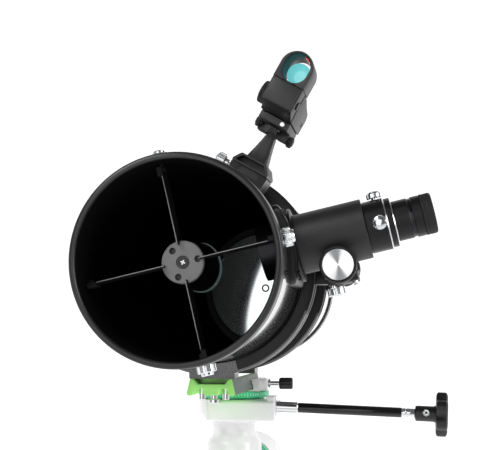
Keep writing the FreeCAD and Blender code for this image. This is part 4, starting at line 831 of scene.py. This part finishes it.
settle(bm, "shoe_thumbscrew", "shoe_screw", [chrome], ["finder_shoe_screw"], place=on_finder,
       smooth=28)

# ---- rings and dovetail --------------------------------------------------------------------------
# Two cast rings in satin black, ribbed at both edges, felt-lined, hinged on the left and clamped
# on the right. Their lower faces and feet are hammer painted, and hold a lime anodised bar.

# Felt: fuzzy black with a soft rim of light.
felt, tree, shader = finish_named("black_felt_lining", "#101010", 0.95, Sheen_Weight=0.4)
raise_by(tree, shader, grain(tree, 0.5, 3.0), 0.1, 0.6)
vary(tree, shader, "Roughness", grain(tree, 5.0, 2.0), 0.9, 1.0)
clamp_x = 102.1
hinge_x = -97.1
bar_foot = -95.5
ring_starts = (174.0, 313.0)


def ring_section(start):
    """Cross-section of a ring as (radius, y): a shallow channel between two ribs."""
    half = [(82.0, 0), (90.6, 0), (91.9, 0.5), (92.6, 1.5), (92.6, 5.4), (92.0, 6.4), (90.8, 7.6),
            (90.3, 9.0)]
    return [(r, start + y) for r, y in half] + [(r, start + 26 - y) for r, y in reversed(half)]


def felt_section(start):
    """Cross-section of the felt strip inside a ring."""
    return [(80.7, start + 1.2), (81.7, start + 1.2), (81.7, start + 24.8), (80.7, start + 24.8)]


# Hammer paint: light and dark specks over shallow dimples.
speckled, tree, shader = finish_named("speckled_hammer_paint", "#3c3c3d", 0.3, 0.3)
speckle = grain(tree, 0.9, 3.0)
raise_by(tree, shader, speckle, 0.12, 0.8)
tint(tree, shader, speckle, "#141415", "#8a8a8b")
bm = bmesh.new()
for start in ring_starts:
    arc_band(bm, ring_section(start), 180.2, 359.8, 96)
    arc_band(bm, felt_section(start), 180.2, 359.8, 72, skin=1)
    foot = [(20.5, bar_foot), (20.5, -88), (23.5, -84), (23.5, -80), (16, -83.5), (0, -85)]
    outline = foot + [(-x, z) for x, z in reversed(foot[:-1])]
    shoe = cut_out(bm, [(x, start + 0.3, z) for x, z in outline], (0, 25.4, 0))
    soften(bm, 0.7, 2, 50, of=shoe)
    lug = block(bm, (88.5, clamp_x + 6), (start + 5, start + 21), (-12, -0.3))
    lug += block(bm, (hinge_x, -88.5), (start + 9, start + 17), (-11, -0.6))
    soften(bm, 0.9, 3, 50, of=lug)
    rod(bm, (hinge_x, start + 9, 0), (hinge_x, start + 17, 0), 4.5, 0.4)
for face in bm.faces:
    spot = face.calc_center_median()
    if face.material_index == 0 and abs(spot.x) < 84 and (math.hypot(spot.x, spot.z) > 90.2 or spot.z < -83):
        face.material_index = 2
settle(bm, "ring_bottoms", "rings", [satin_black, felt, speckled], ["ring_lower"], smooth=30)
for start, name in zip(ring_starts, ("front", "rear")):
    bm = bmesh.new()
    arc_band(bm, ring_section(start), 0.0, 180.0, 96)
    arc_band(bm, felt_section(start), 0.1, 179.9, 72, skin=1)
    lug = block(bm, (88.5, clamp_x - 2.9), (start + 5, start + 21), (0, 11))
    lug += block(bm, (clamp_x - 3.2, clamp_x + 6), (start + 5, start + 10.2), (0, 11))
    lug += block(bm, (clamp_x - 3.2, clamp_x + 6), (start + 15.8, start + 21), (0, 11))
    for y in (start + 2, start + 17.3):
        lug += block(bm, (hinge_x, -88.5), (y, y + 6.7), (0.3, 9))
    soften(bm, 0.8, 2, 50, of=lug)
    for y in (start + 2, start + 17.3):
        rod(bm, (hinge_x, y, 0), (hinge_x, y + 6.7, 0), 4.5, 0.4)
    settle(bm, "ring_top_" + name, "ring_" + name, [satin_black, felt],
           ["ring_upper_" + name],
           smooth=30)
    bm = bmesh.new()
    lobed_knob(bm, (clamp_x, start + 13, 12.6), (0, 0, 1), 8.5, 11.6, 6, 1.6)
    rod(bm, (clamp_x, start + 13, 11.3), (clamp_x, start + 13, 13), 5.0)
    rod(bm, (clamp_x, start + 13, -11), (clamp_x, start + 13, 12), 2.4, skin=1)
    settle(bm, "clamp_knob_" + name, "clamp_" + name, [moulded_black, chrome],
           ["ring_clamp_" + name],
           smooth=35)
bm = bmesh.new()
for start, low in zip(ring_starts, (-114.5, -109.6)):
    rod(bm, (hinge_x, start + 0.6, 0), (hinge_x, start + 25.4, 0), 1.5)
    for x in (-10.8, 10.8):
        cap_screw(bm, (x, start + 13, -104.1), (0, 0, -1), 3.1, -104.1 - low)
rod(bm, (0, 187, -109.9), (0, 187, -114.2), 3.0)
turn(bm, [(0, 0), (5.0, 0), (5.6, 0.6), (5.6, 3.0), (5.0, 3.6), (0, 3.6)], axis=(0, 0, -1),
     centre=(0, 187, -114.0), steps=40)
settle(bm, "ring_bolts", "rings", [chrome], ["ring_fasteners"], smooth=28)
# Lime anodising: vivid green, softly drawn along its length.
lime, tree, shader = finish_named("lime_anodised_alloy", "#a4f07c", 0.4, 0.0)
raise_by(tree, shader, grain(tree, 0.5, 2.0, (1, 0.1, 1)), 0.02, 0.3)
tint(tree, shader, grain(tree, 30.0, 2.0), "#a0ef78", "#acf586")
bm = bmesh.new()
half = [(0, -100.2), (12.6, -100.2), (16.2, bar_foot), (18.9, bar_foot), (22.0, -108.8), (20.8, -110.2),
        (17.2, -110.2),
        (14.0, -104), (7.6, -104), (6.0, -109.8)]
outline = half + [(-x, z) for x, z in reversed(half[1:])]
cut_out(bm, [(x, 169, z) for x, z in outline], (0, 177, 0))
soften(bm, 0.35, 2, 25)
bm.normal_update()
# Faces on the bar's right side get the painted shade.
for face in bm.faces:
    if face.normal.x > 0.5 and face.calc_center_median().x > 17:
        face.material_index = 1
# The bar's right side: painted shade, a duller, greyer green.
painted_shade_side, tree, shader = finish_named("lime_side_painted_shade", "#56625a", 0.45, 0.2)
raise_by(tree, shader, grain(tree, 0.5, 2.0, (1, 0.1, 1)), 0.02, 0.3)
vary(tree, shader, "Roughness", grain(tree, 20.0, 2.0), 0.42, 0.55)
settle(bm, "dovetail_extrusion", "rings", [lime, painted_shade_side], ["dovetail_bar"], smooth=32)

# ---- declination head ----------------------------------------------------------------------------
# White enamelled castings: a slotted saddle with a clamp screw on a teal anodised setting circle,
# turning on a drum with the worm box at its side.

# White enamel: clean white under a clear, soft gloss.
enamel_white, tree, shader = finish_named("white_enamel", "#f3f3f3", 0.24, IOR=1.5, Coat_Weight=0.5,
                                          Coat_Roughness=0.1)
raise_by(tree, shader, grain(tree, 2.5, 2.0), 0.02, 0.25)
vary(tree, shader, "Roughness", grain(tree, 20.0, 2.0), 0.2, 0.32)
dec_y = 313.0
polar_z = -198.0
bm = bmesh.new()
floor_plate = block(bm, (-29, 29), (dec_y - 27, dec_y + 27), (-112.1, -110.5))
soften(bm, 0.4, 1, 50, of=floor_plate)
for side in (-1, 1):
    outline = [(side * 22.4, -110.6), (side * 29, -110.6), (side * 29, -100.8), (side * 28.2, -100),
               (side * 20.3, -100),
               (side * 22.4, -108.8)]
    wall = cut_out(bm, [(x, dec_y - 27, z) for x, z in outline], (0, 54, 0))
    soften(bm, 0.5, 2, 40, of=wall)
jaw = block(bm, (25, 36.1), (dec_y - 25, dec_y - 3), (-111.8, -100))
soften(bm, 1.2, 3, 50, of=jaw)
settle(bm, "saddle_casting", "saddle", [enamel_white], ["saddle"], smooth=30)
bm = bmesh.new()
lobed_knob(bm, (46.8, dec_y - 14, -104.6), (1, 0, 0), 5.7, 13.2, 10, 0.7)
rod(bm, (22.5, dec_y - 14, -104.6), (47.4, dec_y - 14, -104.6), 2.2, skin=1)
rod(bm, (36.4, dec_y - 14, -104.6), (38.2, dec_y - 14, -104.6), 4.2, skin=1)
settle(bm, "saddle_knob", "saddle_screw", [moulded_black, chrome], ["saddle_clamp_screw"],
       smooth=35)
# Teal anodising: a cool satin green-blue.
teal, tree, shader = finish_named("teal_anodised_alloy", "#55d9a2", 0.34, 0.1)
raise_by(tree, shader, grain(tree, 0.5, 2.0), 0.02, 0.3)
tint(tree, shader, grain(tree, 20.0, 2.0), "#4fd59d", "#5fdfab")
# Filled engraving: matt white strokes.
engraved, tree, shader = finish_named("engraved_white_fill", "#e9f3ee", 0.6)
raise_by(tree, shader, grain(tree, 0.6, 2.0), 0.02, 0.3)
vary(tree, shader, "Roughness", grain(tree, 3.0, 2.0), 0.5, 0.65)


def graduated(bm, centre, axis, radius, width, marks):
    """A setting circle: a flat ring, then raised-edge marks round its rim, every fifth one longer."""
    turn(bm, [(0, 0), (radius - 0.6, 0), (radius, 0.6), (radius, width - 0.6), (radius - 0.6, width),
              (0, width)],
         axis=axis, centre=centre, steps=144)
    aim = Vector((0, 0, 1)).rotation_difference(Vector(axis)).to_matrix().to_4x4()
    for i in range(marks):
        reach = 0.5 * width - 0.7 if i % 5 == 0 else 0.22 * width
        made = block(bm, (radius - 0.3, radius + 0.05), (-0.22, 0.22), (width / 2 - reach, width / 2 + reach),
                     skin=1)
        spin = Matrix.Rotation(math.tau * i / marks, 4, "Z")
        bmesh.ops.transform(bm, verts=made, matrix=Matrix.Translation(centre) @ aim @ spin)


bm = bmesh.new()
graduated(bm, (0, dec_y, -118.3), (0, 0, 1), 34.85, 6.0, 72)
turn(bm, [(0, 0), (30, 0), (30, 1.6), (0, 1.6)], axis=(0, 0, 1), centre=(0, dec_y, -119.9), steps=96)
settle(bm, "dec_circle", "saddle", [teal, engraved], ["dec_setting_circle"], smooth=25)
bm = bmesh.new()
turn(bm, [(0, -120.2), (34.7, -120.2), (35.3, -120.9), (35.3, -134.0), (34.9, -136.0), (33.4, -138.6),
          (31.0, -140.4),
          (27.5, -141.7), (24.0, -142.4), (22.6, -143.2), (22.0, -144.6), (22.0, -155), (23.2, -158),
          (26.0, -161.6),
          (27.0, -164), (27.0, -236), (25.6, -240), (22.0, -244.6), (16.0, -248), (0, -248)],
     axis=(0, 0, 1), centre=(0, dec_y, 0), steps=96)
turn(bm, [(0, dec_y), (33.0, dec_y), (33.0, 350.7), (32.0, 351.7), (0, 351.7)], axis=(0, 1, 0),
     centre=(0, 0, polar_z), steps=96)
worm_box = block(bm, (-22, 45.2), (270, 306), (-140, -120.6))
soften(bm, 2.6, 4, 50, of=worm_box)
lip = block(bm, (36.5, 45.2), (273, 305), (-124, -115.9))
soften(bm, 1.4, 3, 50, of=lip)
turn(bm, [(6.7, 0), (8.6, 0), (9.2, 0.6), (9.2, 1.0), (6.7, 1.0)], axis=(1, 0, 0), centre=(44.8, 282, -126.2),
     steps=40)
settle(bm, "dec_casting", "declination", [enamel_white], ["dec_housing"], smooth=30)

# ---- slow-motion handles --------------------------------------------------------------------------
# A drive cable on each worm: chrome socket with a set screw, smooth black sleeve, chrome ferrule,
# and a moulded hub that ends in a six-lobed knob.

# Sleeve: smooth black with one long narrow highlight.
sleeve_skin, tree, shader = finish_named("black_cable_sleeve", "#0e0e0f", 0.24, IOR=1.5)
raise_by(tree, shader, grain(tree, 2.0, 2.0, (0.3, 1, 1)), 0.02, 0.2)
vary(tree, shader, "Roughness", grain(tree, 12.0, 2.0), 0.12, 0.2)


def drive_handle(name, body, node, place, knob_r):
    """One handle, drawn along +X from its socket."""
    bm = bmesh.new()
    turn(bm, [(0, -14), (3, -14), (3, 0), (4.7, 0), (5.2, 0.5), (5.2, 24.4), (4.6, 25.2), (0, 25.2)],
         axis=(1, 0, 0), steps=48, skin=1)
    cap_screw(bm, (6.2, 0, 4.9), (0, 0, 1), 1.9, 1.1, skin=1)
    turn(bm, [(0, 25.0), (4.5, 25.0), (4.78, 25.5), (4.78, 124.1), (4.5, 124.6), (0, 124.6)], axis=(1, 0, 0),
         steps=48)
    turn(bm, [(0, 124.4), (4.2, 124.4), (4.5, 125.0), (4.5, 128.4), (4.1, 129.0), (4.5, 129.6), (4.5, 137.0),
              (4.2, 137.7),
              (0, 137.7)], axis=(1, 0, 0), steps=40, skin=1)
    turn(bm, [(0, 137.6), (6.4, 137.6), (7.2, 138.4), (7.4, 140), (7.4, 155), (8.6, 157.4), (0, 157.4)],
         axis=(1, 0, 0), steps=40, skin=2)
    lobed_knob(bm, (157.2, 0, 0), (1, 0, 0), knob_r, 11, 6, 4.6, skin=2)
    turn(bm, [(1.4, 0), (3.2, 0), (3.2, 0.7), (2.6, 0.9), (2.0, 0.5), (1.4, 0.5)], axis=(0, -1, 0),
         centre=(148, -7.1, 1.5), steps=32, skin=1)
    rod(bm, (148, -6.6, 1.5), (148, -7.9, 1.5), 1.3, skin=2)
    settle(bm, name, body, [sleeve_skin, chrome, moulded_black], [node], place=place,
           smooth=32)


worm_spot = Matrix.Translation((41.8, 282, -126.2)) @ Matrix.Rotation(math.radians(2.2), 4, "Y")
drive_handle("dec_drive_handle", "dec_drive", "dec_handle", on_mount @ worm_spot, 21.0)
ra_spot = Matrix.Translation((-46.5, 377.3, -232)) @ Matrix.Rotation(math.pi, 4, "Z")
drive_handle("ra_drive_handle", "polar_handle", "ra_handle", on_mount @ ra_spot, 16.0)

# ---- polar head and counterweight ------------------------------------------------------------------
# The polar housing is a white casting with its own teal circle. The chrome shaft below carries a
# white counterweight held by a lobed screw.
for node in ("ra_housing", "azimuth_base", "counterweight"):
    keep(node, enamel_white)
bm = bmesh.new()
graduated(bm, (0, 352, polar_z), (0, 1, 0), 35.9, 8.0, 48)
settle(bm, "ra_circle", "declination", [teal, engraved], ["ra_setting_circle"], smooth=25)
for node in ("counterweight_shaft", "latitude_bolts", "collimation_screws"):
    keep(node, chrome)
for node in ("weight_lock_knob", "azimuth_bolt"):
    keep(node, moulded_black)

# ---- tripod ----------------------------------------------------------------------------------------
# A white hub casting and three legs of satin anodised extrusions, with black moulded hinge caps
# and clamps and rubber feet.
keep("tripod_hub", enamel_white)
# Satin anodising: pale metal drawn along the leg.
satin_alloy, tree, shader = finish_named("satin_anodised_alloy", "#b9babd", 0.36, 0.9)
vary(tree, shader, "Roughness", grain(tree, 1.0, 2.0, (1, 1, 0.1)), 0.28, 0.46)
hinge_height = 612.0
spread_angle = math.radians(24)
leg_end = hinge_height / math.cos(spread_angle)
clamp_z = -420
for angle, name in zip((-90, 30, 150), "abc"):
    lean = Matrix.Translation((66.0, 0, hinge_height)) @ Matrix.Rotation(-spread_angle, 4, "Y")
    place = on_floor @ Matrix.Rotation(math.radians(angle), 4, "Z") @ lean
    bm = bmesh.new()
    for side in (-1, 1):
        low, high = sorted((side * 6.0, side * 11.9))
        rail = block(bm, (-11, 11), (low, high), (-420, -12))
        soften(bm, 1.0, 2, 50, of=rail)
        groove = block(bm, (-6, 6), (side * 11.4 - 0.9, side * 11.4 + 0.9), (-400, -40))
        soften(bm, 0.4, 1, 50, of=groove)
    cap = block(bm, (-11.2, 11.2), (-12.1, 12.1), (-34, 0), skin=1)
    soften(bm, 1.4, 3, 50, of=cap)
    rod(bm, (0, -12.1, 0), (0, 12.1, 0), 11.2, 0.8, 48, skin=1)
    for x0, x1, y0, y1 in ((-16, -11.4, -16, 16), (11.4, 16, -16, 16), (-12, 12, -16, -11.8),
                           (-12, 12, 11.8, 16)):
        collar = block(bm, (x0, x1), (y0, y1), (-436, -404), skin=1)
        soften(bm, 1.0, 2, 50, of=collar)
    for side in (-1, 1):
        for z in (-412, -428):
            cap_screw(bm, (-6, side * 15.8, z), (0, side, 0), 2.2, 1.2, skin=2)
    settle(bm, "upper_leg_" + name, "leg_" + name, [satin_alloy, moulded_black, chrome],
           ["leg_upper_" + name], place=place)
    bm = bmesh.new()
    bar = block(bm, (-11, 11), (-5.4, 5.4), (34 - leg_end, -190))
    soften(bm, 1.2, 3, 50, of=bar)
    block(bm, (-14, 14), (-9, 9), (-leg_end - 20, 60 - leg_end), skin=1)
    cutter = Matrix.Rotation(spread_angle, 3, "Y") @ Vector((0, 0, 1))
    sole = bm.verts[:] + bm.edges[:] + bm.faces[:]
    made = bmesh.ops.bisect_plane(bm, geom=sole, plane_co=(0, 0, -leg_end), plane_no=-cutter,
                                  clear_outer=True)["geom_cut"]
    filled = bmesh.ops.holes_fill(bm, edges=[part for part in made
                                             if isinstance(part, bmesh.types.BMEdge)])["faces"]
    for face in filled:
        face.material_index = 1
    for z in (12, 22, 32, 42):
        rib = block(bm, (-14.6, 14.6), (-9.6, 9.6), (z - leg_end, z + 3 - leg_end), skin=1)
        soften(bm, 0.6, 2, 50, of=rib)
    settle(bm, "lower_leg_" + name, "leg_end_" + name, [satin_alloy, rubber],
           ["leg_lower_" + name],
           place=place)
    bm = bmesh.new()
    lobed_knob(bm, (17.5, 0, clamp_z), (1, 0, 0), 11, 12, 6, 2.0)
    rod(bm, (11.4, 0, clamp_z), (18, 0, clamp_z), 3.0, skin=1)
    turn(bm, [(0, 0), (6.5, 0), (5.9, 0.6), (0, 0.4)], axis=(1, 0, 0), centre=(29.4, 0, clamp_z), steps=32,
         skin=1)
    settle(bm, "leg_clamp_" + name, "leg_clamp_" + name, [moulded_black, chrome],
           ["leg_knob_" + name],
           place=place, smooth=35)
